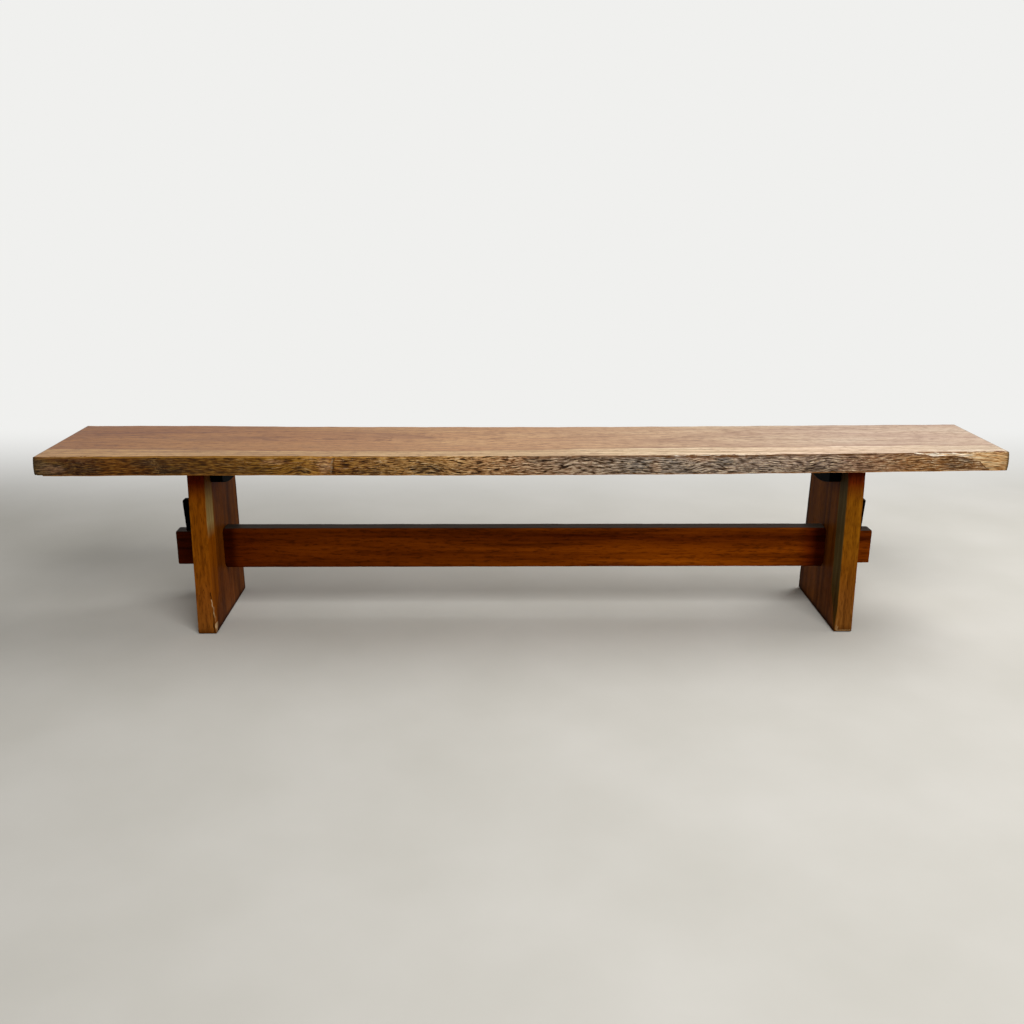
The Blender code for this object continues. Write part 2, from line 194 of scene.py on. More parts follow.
# where the edge ridges are strong: place along x, strength
ridgeZones = (
    (-1.08, 0.45), (-0.95, 0.40), (-0.90, 0.22), (-0.62, 0.30), (-0.52, 0.70), (-0.30, 0.90),
    (0.0, 1.0), (0.68, 1.0), (0.80, 0.75), (0.92, 0.60), (1.08, 0.50),
)
# torn upper corner: place along x, strength
tearZones = (
    (-1.08, 0.06), (-1.03, 0.20), (-0.95, 0.16), (-0.91, 0.0), (-0.10, 0.0), (0.10, 0.14), (0.26, 0.16),
    (0.34, 0.34), (0.45, 0.30), (0.52, 0.14), (0.845, 0.12), (0.87, 0.9), (0.95, 1.0), (1.03, 0.8),
    (1.08, 0.3),
)
# bare pale wood below the upper corner: place along x, how far down it reaches in metres
bareDepths = (
    (-1.08, 0.0004), (-1.05, 0.0018), (-0.95, 0.0014), (-0.91, 0.0), (0.10, 0.0), (0.27, 0.0004),
    (0.34, 0.0022), (0.44, 0.0016), (0.50, 0.0004), (0.855, 0.0003), (0.870, 0.0050), (0.905, 0.0085),
    (0.943, 0.0080), (0.970, 0.0090), (0.990, 0.0150), (1.005, 0.0190), (1.020, 0.0280),
    (1.035, 0.0390), (1.050, 0.052), (1.08, 0.058),
)
# width of the pale sapwood on top: place along x, metres from the edge
sapWidths = (
    (-1.08, 0.074), (-0.96, 0.070), (-0.74, 0.057), (-0.45, 0.046), (-0.18, 0.047), (0.16, 0.066),
    (0.39, 0.071), (0.85, 0.072), (1.08, 0.062),
)
# grain eyes in the live edge: x, share of the height from the top, half length, half height, lift
edgeEyes = (
    (-0.505, 0.62, 0.040, 0.012, 0.0095), (-0.225, 0.55, 0.055, 0.013, 0.0070),
    (0.39, 0.45, 0.045, 0.011, 0.0075), (-0.86, 0.60, 0.060, 0.013, 0.0060),
    (0.62, 0.60, 0.050, 0.012, -0.0060),
)
# stains on the live edge: x, share of the height from the top, half length, half height, strength
darkStains = (
    (-0.225, 0.66, 0.032, 0.011, 1.0), (-0.790, 0.72, 0.034, 0.009, 0.9),
    (-0.840, 0.35, 0.030, 0.008, 0.5), (-0.980, 0.62, 0.045, 0.014, 0.6),
    (0.962, 0.37, 0.046, 0.0080, 0.62), (0.965, 0.75, 0.020, 0.005, 0.5),
    (-0.500, 0.70, 0.020, 0.007, 0.7), (-0.610, 0.70, 0.040, 0.008, 0.4),
    (-0.350, 0.80, 0.045, 0.005, 0.5), (0.02, 0.22, 0.030, 0.005, 0.8),
    (0.110, 0.16, 0.045, 0.004, 0.8), (0.520, 0.16, 0.040, 0.004, 0.6),
    (0.620, 0.80, 0.045, 0.006, 0.5),
)
greyStains = (
    (0.240, 0.45, 0.034, 0.014, 0.85), (0.303, 0.35, 0.020, 0.011, 0.8),
    (0.428, 0.32, 0.022, 0.009, 1.0), (0.650, 0.50, 0.045, 0.016, 0.6),
    (-1.066, 0.45, 0.014, 0.014, 0.12), (0.330, 0.75, 0.060, 0.009, 0.6),
    (0.500, 0.75, 0.060, 0.008, 0.4),
)
paleStains = (
    (-0.452, 0.45, 0.014, 0.016, 0.75), (0.275, 0.60, 0.014, 0.014, 0.6),
    (0.380, 0.20, 0.030, 0.006, 0.8), (-1.040, 0.62, 0.024, 0.010, 0.45),
    (1.045, 0.55, 0.040, 0.016, 0.6), (0.790, 0.78, 0.060, 0.006, 0.5),
    (-0.560, 0.30, 0.030, 0.005, 0.4),
)
# knots and darker figure in the top: x, y, half length, half width, strength
topKnots = (
    (-0.749, -0.063, 0.010, 0.007, 0.9), (1.037, -0.0215, 0.006, 0.005, 0.9),
    (-0.720, 0.010, 0.075, 0.030, 0.35), (-0.350, 0.060, 0.080, 0.020, 0.22),
    (0.52, 0.05, 0.060, 0.018, 0.2),
)


def stainAt(marks, x, drop, seed):
    # how strongly the nearest listed stain covers this spot, with a ragged outline
    length, height = slab["stainGrain"]
    ragged = 0.9 * noise.noise(Vector((x / length, drop / height, seed)))
    cover = 0
    for place, share, halfLong, halfHigh, strength in marks:
        far = ((x - place) / halfLong) ** 2 + ((drop - share * thickness) / halfHigh) ** 2
        cover = max(cover, strength * smoothStep(1.9, 0.25, far + ragged))
    return cover


def readCurve(points, x):
    # straight steps between listed points
    for (x0, y0), (x1, y1) in zip(points, points[1:]):
        if x <= x1:
            return y0 + (y1 - y0) * min(max((x - x0) / (x1 - x0), 0), 1)
    return points[-1][1]


def smoothStep(low, high, value):
    share = min(max((value - low) / (high - low), 0), 1)
    return share * share * (3 - 2 * share)


def flowDrop(x, drop, seed):
    # the drop below the top as the fibres count it: swaying along the slab and bulging round the eyes
    flow = drop
    for k, (length, height, reach) in enumerate((slab["sway"], slab["curl"])):
        flow += reach * noise.noise(Vector((x / length, drop / height, seed + 5 * k)))
    if seed < 10:
        for place, share, halfLong, halfHigh, lift in edgeEyes:
            far = ((x - place) / halfLong) ** 2 + ((drop - share * thickness) / halfHigh) ** 2
            flow += lift * math.exp(-far)
    return flow


def liveRelief(x, drop, seed, ridgeDepth):
    # at this x and drop: the depth cut into the live face, how hollow the spot is, and the fibres' own drop
    zone = readCurve(ridgeZones, x)
    flow = flowDrop(x, drop, seed)
    length, height = slab["ridgeLength"], slab["ridgeHeight"]
    coarse = abs(noise.noise(Vector((x / length, flow / height, seed + 20))))
    fine = abs(noise.noise(Vector((2.2 * x / length, 1.8 * flow / height, seed + 40))))
    patchy = smoothStep(-0.35, 0.35, noise.noise(Vector((x / 0.060, drop / 0.024, seed + 9))))
    crease = (1 - smoothStep(0, slab["creaseWidth"], coarse)) * (0.35 + 0.65 * patchy)
    fineCrease = (1 - smoothStep(0, slab["creaseWidth"], fine)) * (0.75 - 0.35 * patchy)
    hollow = max(crease, fineCrease)
    length, height, broadDepth = slab["hollows"]
    broad = 0.5 + 0.5 * noise.noise(Vector((x / length, drop / height, seed + 2)))
    depth = ridgeDepth * zone * hollow + broadDepth * broad
    under = math.exp(-((drop - slab["undercutDrop"]) / slab["undercutSpread"]) ** 2)
    ragged = smoothStep(-0.20, 0.30, noise.noise(Vector((x / 0.045, 0.4, seed + 3))))
    ragged *= smoothStep(-0.35, 0.05, x)
    depth += slab["undercut"] * under * ragged
    return depth, max(hollow * (0.35 + 0.65 * zone), 0.8 * under * ragged), flow


def buildSlab():
    cad = nodes["seat_slab"]
    low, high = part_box("seat_slab")
    piece = addBlock("seatSlab", low, high)
    bpy.ops.object.mode_set(mode="EDIT")
    bpy.ops.mesh.select_all(action="SELECT")
    bpy.ops.mesh.bevel(offset=slab["arris"], segments=2, affect="EDGES")
    rows = [low.y + step for step in slab["topRows"]] + [high.y - step for step in slab["topRows"]]
    for y in rows + [(low.y + high.y) / 2]:
        bpy.ops.mesh.select_all(action="SELECT")
        bpy.ops.mesh.bisect(plane_co=(0, y, 0), plane_no=(0, 1, 0))
    for facing, levels in ((-1, slab["frontLevels"]), (1, slab["rearLevels"])):
        for k in range(1, levels):
            z = low.z + slab["arris"] + (high.z - low.z - 2 * slab["arris"]) * k / levels
            selectFaces(piece, lambda face: face.normal.y * facing > 0.9)
            bpy.ops.mesh.bisect(plane_co=(0, 0, z), plane_no=(0, 0, 1))
    for steps in (slab["columnsFirst"], slab["columnsSecond"]):
        selectEdges(piece, runsAlong(0))
        bpy.ops.mesh.subdivide(number_cuts=steps - 1)
    bpy.ops.object.mode_set(mode="OBJECT")
    shapeSlab(piece, cad, low, high)
    return piece


def shapeSlab(piece, cad, low, high):
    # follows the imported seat's natural outline, then cuts the cambium relief into both long faces
    depth = high.y - low.y
    margin, endMargin = 0.0016, 0.003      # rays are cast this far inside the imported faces
    packed = BVHTree.FromPolygons(
        [v.co for v in cad.data.vertices], [p.vertices for p in cad.data.polygons],
    )
    found = {}

    def reach(x, z):
        key = (round(x, 5), round(z, 5))
        if key not in found:
            x = min(max(x, low.x + endMargin), high.x - endMargin)
            z = min(max(z, low.z + margin), high.z - margin)
            front = packed.ray_cast(Vector((x, low.y - 0.1, z)), Vector((0, 1, 0)))[0].y
            rear = packed.ray_cast(Vector((x, high.y + 0.1, z)), Vector((0, -1, 0)))[0].y
            found[key] = (front, rear)
        return found[key]

    mesh = piece.data
    kept = {}
    for vert in mesh.vertices:
        x, y, z = vert.co
        front, rear = reach(x, z)
        topFront = reach(x, high.z)[0]
        share = (y - low.y) / depth
        y = front + (rear - front) * share
        drop = high.z - z
        atFront = smoothStep(*slab["faceBand"], share * depth)
        atRear = smoothStep(*slab["faceBand"], (1 - share) * depth)
        hollow, flow = 0, drop
        if atFront > 0:
            cutIn, hollow, flow = liveRelief(x, drop, 1.3, slab["ridgeDepth"])
            seam = math.exp(-((x - slab["seamPlace"]) / slab["seamWidth"]) ** 2)
            y += atFront * (cutIn + slab["seamDepth"] * seam)
            hollow = max(hollow, 0.55 * seam)
        if atRear > 0:
            cutIn, hollow, flow = liveRelief(x, drop, 21.7, slab["rearRidgeDepth"])
            y -= atRear * cutIn
        # torn upper corner: the arris is split away in long steps
        inward = y - topFront
        splinter = 0.5 + 0.9 * noise.noise(Vector((x / slab["longSplinter"], 0.3, 4.0)))
        splinter += 0.45 * noise.noise(Vector((x / slab["shortSplinter"], 2.0, 4.0)))
        tear = readCurve(tearZones, x) * min(max(splinter, 0), 1)
        near = tear * smoothStep(slab["tearReach"], 0, inward) * smoothStep(slab["tearReach"], 0, drop)
        if near > 0:
            fibre = 0.75 + 0.5 * noise.noise(Vector((x / 0.012, inward / 0.0015, 6.0)))
            z -= near * slab["tearDrop"] * fibre * smoothStep(0.006, 0.0, drop)
            y += near * 0.4 * slab["tearDrop"] * fibre * atFront
        vert.co = (x, y, z)
        bareDepth = readCurve(bareDepths, x)
        bareTo = bareDepth * (1 + 0.7 * noise.noise(Vector((x / slab["bareWave"], 1.0, 8.0))))
        length, height, fray = slab["bareFray"]
        bareTo += fray * noise.noise(Vector((x / length, drop / height, 9.0))) * min(1, bareDepth / 0.003)
        bare = atFront * smoothStep(0.0019, -0.0019, drop - bareTo) if bareDepth > 0 else 0
        knot = 0
        for knotX, knotY, halfLong, halfWide, strength in topKnots:
            far = ((x - knotX) / halfLong) ** 2 + ((y - knotY) / halfWide) ** 2
            knot = max(knot, strength * math.exp(-far))
        rimFar = min(rear - y, x - low.x, high.x - x)
        marks = {
            "fromEdge": (y - topFront) / readCurve(sapWidths, x),
            "hollow": hollow,
            "torn": min(1, max(near * 2.2, bare)),
            "flow": flow,
            "live": max(atFront, atRear),
            "darkStain": atFront * stainAt(darkStains, x, drop, 31.0),
            "greyStain": atFront * stainAt(greyStains, x, drop, 37.0),
            "paleStain": atFront * stainAt(paleStains, x, drop, 41.0),
            "knot": knot if drop < 0.001 else 0,
            # painted shade along the rear edge and ends
            "rim": smoothStep(0.0030, 0.0010, rimFar),
            "endRim": smoothStep(0.0075, 0.0020, min(x - low.x, high.x - x)),
        }
        for name, value in marks.items():
            kept.setdefault(name, []).append(value)
    for name, values in kept.items():
        mesh.attributes.new(name, "FLOAT", "POINT")
        mesh.attributes[name].data.foreach_set("value", values)
    makeActive(piece)
    bpy.ops.object.mode_set(mode="EDIT")
    bpy.ops.mesh.select_all(action="SELECT")
    bpy.ops.mesh.normals_make_consistent(inside=False)
    bpy.ops.object.mode_set(mode="OBJECT")
    bpy.ops.object.shade_smooth_by_angle(angle=math.radians(50))


# the oiled top: how often each pattern repeats in a metre, colours, and ramps as place and colour
topLook = {
    "longWave": (1.1, 6, 6),
    "streakMap": (2.2, 95, 95),
    "poreMap": (55, 900, 900),
    "patchMap": (1.8, 9, 9),
    "wanderMap": (7, 30, 30),
    "fleckMap": (38, 150, 150),
    "borderColour": "8f5d44",
    "knotColour": "6e4228",
    "rimColour": "6b5240",
    "ringTone": [(0, "f4efea"), (0.6, "e6dcd4"), (0.92, "b7a093"), (1, "cdbcb0")],
    "streakTone": [(0.30, "b2958a"), (0.50, "e8ddd6"), (0.68, "ffffff")],
    "poreTone": [(0.33, "a58d80"), (0.42, "ffffff")],
    "heart": [(0.32, "d6b49c"), (0.50, "e6c8ac"), (0.68, "f2dcc2")],
    # along the slab: the wood's own tone, warmer at the left end, with painted light and painted reflection
    # making the top paler and bluer towards the right
    "ageing": [
        (0.06, "c89f69"), (0.25, "d8b888"), (0.48, "ead8b8"), (0.72, "e9ece6"), (0.85, "e8f1f7"),
        (1, "e1e9ed"),
    ],
    "sapTone": [(0.30, "dec6a4"), (0.5, "f6e0c4"), (0.7, "ffeed8")],
    "sapAgeing": [
        (0.06, "e1c697"), (0.45, "e8ddc0"), (0.65, "f8fbf1"), (0.8, "feffff"), (0.92, "e6e8e6"),
        (1, "e0e4e2"),
    ],
    "fleckTone": [(0.34, "a58a7a"), (0.47, "ece4de"), (0.60, "ffffff")],
}


def oiledWalnutTop():
    # walnut, planed and oiled, so satin, with open pores and grain that the eye follows along the slab
    top, tree = newMaterial("oiledWalnutTop")
    place = addNode(tree, "TexCoord").outputs["Object"]
    longWave = addNode(tree, "Mapping", {"Scale": topLook["longWave"]}, {"Vector": place})
    drift = addNode(tree, "TexNoise", {"Scale": 1.0, "Detail": 3}, {"Vector": longWave})
    centred = addNode(
        tree, "VectorMath", {"operation": "SUBTRACT", 1: (0.5, 0.5, 0.5)}, {0: drift.outputs["Color"]},
    )
    sway = addNode(tree, "VectorMath", {"operation": "MULTIPLY", 1: (0, 0.075, 0.075)}, {0: centred})
    bent = addNode(tree, "VectorMath", {"operation": "ADD"}, {0: place, 1: sway})
    pith = addNode(tree, "Mapping", {"Location": slab["pith"]}, {"Vector": bent})
    rings = addNode(
        tree, "TexWave",
        {
            "wave_type": "RINGS", "rings_direction": "X", "wave_profile": "SAW",
            "Scale": math.tau / 20 / slab["ringGap"], "Distortion": 1.2, "Detail": 2,
            "Detail Scale": 1.5,
        },
        {"Vector": pith},
    )
    ringTone = addNode(tree, "ValToRGB", {}, {"Fac": rings.outputs["Fac"]}, topLook["ringTone"])
    streakMap = addNode(tree, "Mapping", {"Scale": topLook["streakMap"]}, {"Vector": bent})
    streaks = addNode(
        tree, "TexNoise", {"Scale": 1.0, "Detail": 6, "Roughness": 0.6}, {"Vector": streakMap},
    )
    streakTone = addNode(tree, "ValToRGB", {}, {"Fac": streaks}, topLook["streakTone"])
    streakLow = addNode(
        tree, "MapRange", {"From Min": 0.65, "From Max": 0.45, "To Min": 0.55}, {"Value": streaks},
    )
    poreMap = addNode(tree, "Mapping", {"Scale": topLook["poreMap"]}, {"Vector": place})
    pores = addNode(tree, "TexNoise", {"Scale": 1.0, "Detail": 2}, {"Vector": poreMap})
    poreTone = addNode(tree, "ValToRGB", {}, {"Fac": pores}, topLook["poreTone"])
    patchMap = addNode(tree, "Mapping", {"Scale": topLook["patchMap"]}, {"Vector": place})
    patches = addNode(
        tree, "TexNoise", {"Scale": 1.0, "Detail": 4, "Roughness": 0.55}, {"Vector": patchMap},
    )
    heart = addNode(tree, "ValToRGB", {}, {"Fac": patches}, topLook["heart"])
    split = addNode(tree, "SeparateXYZ", {}, {"Vector": place})
    along = addNode(
        tree, "MapRange", {"From Min": -slab["halfLength"], "From Max": slab["halfLength"]},
        {"Value": split.outputs["X"]},
    )
    # the wood's tone along the slab with painted light and reflection, paler and bluer to the right
    ageing = addNode(tree, "ValToRGB", {}, {"Fac": along}, topLook["ageing"])
    heartAlong = addNode(tree, "Mix", {"blend_type": "MULTIPLY", "Factor": 1}, {"A": heart, "B": ageing})
    sapTone = addNode(tree, "ValToRGB", {}, {"Fac": streaks}, topLook["sapTone"])
    sapAgeing = addNode(tree, "ValToRGB", {}, {"Fac": along}, topLook["sapAgeing"])
    sap = addNode(tree, "Mix", {"blend_type": "MULTIPLY", "Factor": 1}, {"A": sapTone, "B": sapAgeing})
    edge = addNode(tree, "Attribute", {"attribute_name": "fromEdge"})
    wanderMap = addNode(tree, "Mapping", {"Scale": topLook["wanderMap"]}, {"Vector": place})
    wander = addNode(tree, "TexNoise", {"Scale": 1.0, "Detail": 5, "Roughness": 0.6}, {"Vector": wanderMap})
    wandered = addNode(tree, "Math", {"operation": "MULTIPLY_ADD", 1: 0.30, 2: -0.15}, {0: wander})
    border = addNode(tree, "Math", {"operation": "ADD"}, {0: edge.outputs["Fac"], 1: wandered})
    isHeart = addNode(
        tree, "MapRange", {"interpolation_type": "SMOOTHSTEP", "From Min": 0.93, "From Max": 1.06},
        {"Value": border},
    )
    wood = addNode(tree, "Mix", {}, {"Factor": isHeart, "A": sap, "B": heartAlong})
    nearBorder = addNode(
        tree, "MapRange", {"From Min": 1.02, "From Max": 1.28, "To Min": 0.35, "To Max": 0},
        {"Value": border},
    )
    borderLine = addNode(tree, "Math", {"operation": "MULTIPLY"}, {0: nearBorder, 1: isHeart})
    wood = addNode(
        tree, "Mix", {"B": hexColour(topLook["borderColour"])}, {"Factor": borderLine, "A": wood},
    )
    fleckMap = addNode(
        tree, "Mapping", {"Scale": topLook["fleckMap"], "Location": (2, 5, 1)}, {"Vector": bent},
    )
    flecks = addNode(tree, "TexNoise", {"Scale": 1.0, "Detail": 3, "Roughness": 0.7}, {"Vector": fleckMap})
    fleckTone = addNode(tree, "ValToRGB", {}, {"Fac": flecks}, topLook["fleckTone"])
    for tone, strength in ((ringTone, 0.55), (streakTone, 0.6), (poreTone, 0.6), (fleckTone, 0.68)):
        wood = addNode(tree, "Mix", {"blend_type": "MULTIPLY", "Factor": strength}, {"A": wood, "B": tone})
    knot = addNode(tree, "Attribute", {"attribute_name": "knot"})
    knotShare = addNode(tree, "Math", {"operation": "MULTIPLY"}, {0: knot.outputs["Fac"], 1: streakLow})
    wood = addNode(tree, "Mix", {"B": hexColour(topLook["knotColour"])}, {"Factor": knotShare, "A": wood})
    # painted shade: a thin dark line along the top's rear edge and ends
    rim = addNode(tree, "Attribute", {"attribute_name": "rim"})
    rimShare = addNode(tree, "Math", {"operation": "MULTIPLY", 1: 0.62}, {0: rim.outputs["Fac"]})
    wood = addNode(
        tree, "Mix", {"blend_type": "MULTIPLY", "B": hexColour(topLook["rimColour"])},
        {"Factor": rimShare, "A": wood},
    )
    rough = addNode(tree, "MapRange", {"To Min": 0.42, "To Max": 0.56}, {"Value": streaks})
    bump = addNode(tree, "Bump", {"Strength": 0.25, "Distance": 0.0004}, {"Height": pores})
    finishMaterial(
        tree, {"IOR": 1.48, "Specular IOR Level": 0.3},
        {"Base Color": wood, "Roughness": rough, "Normal": bump},
    )
    return top


# the live edge: how often each pattern repeats in a metre, colours, and ramps as place and colour;
# most ramps run from the left end of the slab to the right
edgeLook = {
    "wobbleMap": (18, 60, 60),
    "warmMap": (11, 70, 70),
    "coolMap": (9, 45, 45),
    "fibreMap": (26, 440, 1),
    "threadMap": (48, 430, 1),
    "scratchMap": (75, 170, 1),
    "warmPatch": "a0641c",
    "coolPatch": "6c6a6a",
    "crest": "e6cfab",
    "scratch": "b4925c",
    "tornEnd": "5e3612",
    "lowerCorner": "c58236",
    "upperCorner": "c08a3c",
    "sawnRim": "38290f",
    "zones": [
        (0, "634e2a"), (0.014, "5b4321"), (0.03, "542c0a"), (0.055, "572f0a"), (0.075, "7c4c0e"),
        (0.095, "6d410b"), (0.115, "54310a"), (0.2, "7c551b"), (0.26, "9a6e24"), (0.292, "c28b42"),
        (0.304, "825319"), (0.4, "cda467"), (0.48, "c9a17a"), (0.6, "aea7a0"), (0.75, "baada6"),
        (0.85, "a17d65"), (0.90, "af7e4b"), (0.94, "a16e36"), (1, "885d39"),
    ],
    "lineZone": [
        (0, "e4e4e4"), (0.09, "d8d8d8"), (0.22, "dcdcdc"), (0.28, "f0f0f0"), (0.5, "ffffff"),
        (0.8, "f0f0f0"), (0.9, "e0e0e0"), (1, "c0c0c0"),
    ],
    "shade": [(0, "ffffff"), (0.30, "eee6dc"), (0.65, "b4a08c"), (1, "705c4a")],
    "fibreTone": [(0.30, "6a5848"), (0.5, "dfd4c8"), (0.66, "ffffff")],
    "threadTone": [(0.35, "34281c"), (0.42, "806c58"), (0.48, "f0e8de"), (0.56, "ffffff")],
    "paleTone": [
        (0, "64481a"), (0.25, "785620"), (0.3, "98702e"), (0.42, "987042"), (0.55, "9c866c"),
        (1, "a88a62"),
    ],
    "scratchZone": [
        (0, "505050"), (0.055, "585858"), (0.075, "1c1c1c"), (0.11, "141414"), (0.125, "808080"),
        (0.138, "141414"), (0.25, "181818"), (0.275, "7c7c7c"), (0.31, "303030"), (0.45, "282828"),
        (0.88, "282828"), (0.94, "606060"), (1, "686868"),
    ],
    "tornTone": [(0.31, "7c5228"), (0.40, "c09360"), (0.48, "ecd2ae"), (0.56, "fff8ea")],
    "tornAgeing": [(0.1, "a08460"), (0.6, "ffffff"), (0.93, "ffffff"), (0.965, "e8d2b0"), (1, "d8bc94")],
    "cornerZone": [
        (0, "404040"), (0.06, "b0b0b0"), (0.28, "d0d0d0"), (0.4, "707070"), (0.5, "303030"),
        (0.88, "303030"), (0.92, "202020"),
    ],
}


def edgeGround(tree):
    # the live edge's own colour along the slab, with its stains and its warm and cool patches
    place = addNode(tree, "TexCoord").outputs["Object"]
    split = addNode(tree, "SeparateXYZ", {}, {"Vector": place})
    wobbleMap = addNode(tree, "Mapping", {"Scale": edgeLook["wobbleMap"]}, {"Vector": place})
    wobble = addNode(tree, "TexNoise", {"Scale": 1.0, "Detail": 4}, {"Vector": wobbleMap})
    along = addNode(
        tree, "MapRange", {"From Min": -slab["halfLength"], "From Max": slab["halfLength"]},
        {"Value": split.outputs["X"]},
    )
    shifted = addNode(tree, "Math", {"operation": "MULTIPLY_ADD", 1: 0.045, 2: -0.0225}, {0: wobble})
    alongWobbly = addNode(tree, "Math", {"operation": "ADD"}, {0: along, 1: shifted})
    zones = addNode(tree, "ValToRGB", {}, {"Fac": alongWobbly}, edgeLook["zones"])
    # listed stains: dark blots, blue-grey weathering and pale bare patches
    wood = zones
    for name, colour, strength in (
        ("darkStain", "33261a", 0.80), ("greyStain", "71757a", 0.75), ("paleStain", "c9a488", 0.75),
    ):
        stain = addNode(tree, "Attribute", {"attribute_name": name})
        share = addNode(tree, "Math", {"operation": "MULTIPLY", 1: strength}, {0: stain.outputs["Fac"]})
        wood = addNode(tree, "Mix", {"B": hexColour(colour)}, {"Factor": share, "A": wood})
    warmMap = addNode(tree, "Mapping", {"Scale": edgeLook["warmMap"]}, {"Vector": place})
    warm = addNode(tree, "TexNoise", {"Scale": 1.0, "Detail": 5, "Roughness": 0.65}, {"Vector": warmMap})
    warmMask = addNode(
        tree, "MapRange",
        {"interpolation_type": "SMOOTHSTEP", "From Min": 0.56, "From Max": 0.74, "To Max": 0.65},
        {"Value": warm},
    )
    coolMap = addNode(
        tree, "Mapping", {"Scale": edgeLook["coolMap"], "Location": (3, 1, 2)}, {"Vector": place},
    )
    cool = addNode(tree, "TexNoise", {"Scale": 1.0, "Detail": 4, "Roughness": 0.6}, {"Vector": coolMap})
    coolHigh = addNode(
        tree, "MapRange",
        {"interpolation_type": "SMOOTHSTEP", "From Min": 0.52, "From Max": 0.70, "To Max": 0.65},
        {"Value": cool},
    )
    toRight = addNode(
        tree, "MapRange",
        {"interpolation_type": "SMOOTHSTEP", "From Min": -0.25, "From Max": 0.25, "To Min": 0.05},
        {"Value": split.outputs["X"]},
    )
    coolMask = addNode(tree, "Math", {"operation": "MULTIPLY"}, {0: coolHigh, 1: toRight})
    for mask, colour in ((warmMask, "warmPatch"), (coolMask, "coolPatch")):
        wood = addNode(tree, "Mix", {"B": hexColour(edgeLook[colour])}, {"Factor": mask, "A": wood})
    return wood, {"split": split, "wobble": wobble, "lengthwise": alongWobbly, "warm": warm}


def edgeRidges(tree, wood, shared):
    # weathered fibres: painted shade in the hollows of the relief, pale on the crests
    split, lengthwise = shared["split"], shared["lengthwise"]
    hollow = addNode(tree, "Attribute", {"attribute_name": "hollow"})
    flow = addNode(tree, "Attribute", {"attribute_name": "flow"})
    along = addNode(tree, "CombineXYZ", {}, {"X": split.outputs["X"], "Y": flow.outputs["Fac"]})
    fibreMap = addNode(tree, "Mapping", {"Scale": edgeLook["fibreMap"]}, {"Vector": along})
    fibres = addNode(
        tree, "TexNoise", {"Scale": 1.0, "Detail": 4, "Roughness": 0.62, "Distortion": 0.3},
        {"Vector": fibreMap},
    )
    # long thin ridges, near the relief's own size, so the eye takes both as one weathered surface; each is
    # painted as a dark shaded line with a pale painted highlight beside it
    threadMap = addNode(
        tree, "Mapping", {"Scale": edgeLook["threadMap"], "Location": (7, 3, 0)}, {"Vector": along},
    )
    threads = addNode(
        tree, "TexNoise", {"Scale": 1.0, "Detail": 1.5, "Roughness": 0.55, "Distortion": 0.35},
        {"Vector": threadMap},
    )
    lineZone = addNode(tree, "ValToRGB", {}, {"Fac": lengthwise}, edgeLook["lineZone"])
    palest = addNode(
        tree, "MapRange",
        {"interpolation_type": "SMOOTHSTEP", "From Min": 0.30, "From Max": 0.0, "To Max": 0.85},
        {"Value": hollow.outputs["Fac"]},
    )
    fibreHigh = addNode(
        tree, "MapRange", {"interpolation_type": "SMOOTHSTEP", "From Min": 0.50, "From Max": 0.64},
        {"Value": fibres},
    )
    crest = addNode(tree, "Math", {"operation": "MULTIPLY"}, {0: palest, 1: fibreHigh})
    crestRight = addNode(
        tree, "MapRange", {"From Min": -0.7, "From Max": 0.1, "To Min": 0.08},
        {"Value": split.outputs["X"]},
    )
    crest = addNode(tree, "Math", {"operation": "MULTIPLY"}, {0: crest, 1: crestRight})
    wood = addNode(tree, "Mix", {"B": hexColour(edgeLook["crest"])}, {"Factor": crest, "A": wood})
    # painted shade: darker the deeper the hollow
    shade = addNode(tree, "ValToRGB", {}, {"Fac": hollow.outputs["Fac"]}, edgeLook["shade"])
    wood = addNode(tree, "Mix", {"blend_type": "MULTIPLY", "Factor": 1}, {"A": wood, "B": shade})
    fibreTone = addNode(tree, "ValToRGB", {}, {"Fac": fibres}, edgeLook["fibreTone"])
    wood = addNode(tree, "Mix", {"blend_type": "MULTIPLY", "Factor": 0.8}, {"A": wood, "B": fibreTone})
    # painted shade: thin dark lines under the ridges
    threadTone = addNode(tree, "ValToRGB", {}, {"Fac": threads}, edgeLook["threadTone"])
    wood = addNode(
        tree, "Mix", {"blend_type": "MULTIPLY"}, {"Factor": lineZone, "A": wood, "B": threadTone},
    )
    # painted highlight: a pale line along the upper side of each ridge
    ridgeHighlight = addNode(
        tree, "MapRange",
        {"interpolation_type": "SMOOTHSTEP", "From Min": 0.53, "From Max": 0.63, "To Max": 0.85},
        {"Value": threads},
    )
    ridgeHighlightShare = addNode(tree, "Math", {"operation": "MULTIPLY"}, {0: ridgeHighlight, 1: lineZone})
    paleTone = addNode(tree, "ValToRGB", {}, {"Fac": lengthwise}, edgeLook["paleTone"])
    wood = addNode(tree, "Mix", {"blend_type": "SCREEN"}, {"Factor": ridgeHighlightShare, "A": wood, "B": paleTone})
    shared.update(along=along, fibres=fibres, threads=threads, threadTone=threadTone)
    return wood


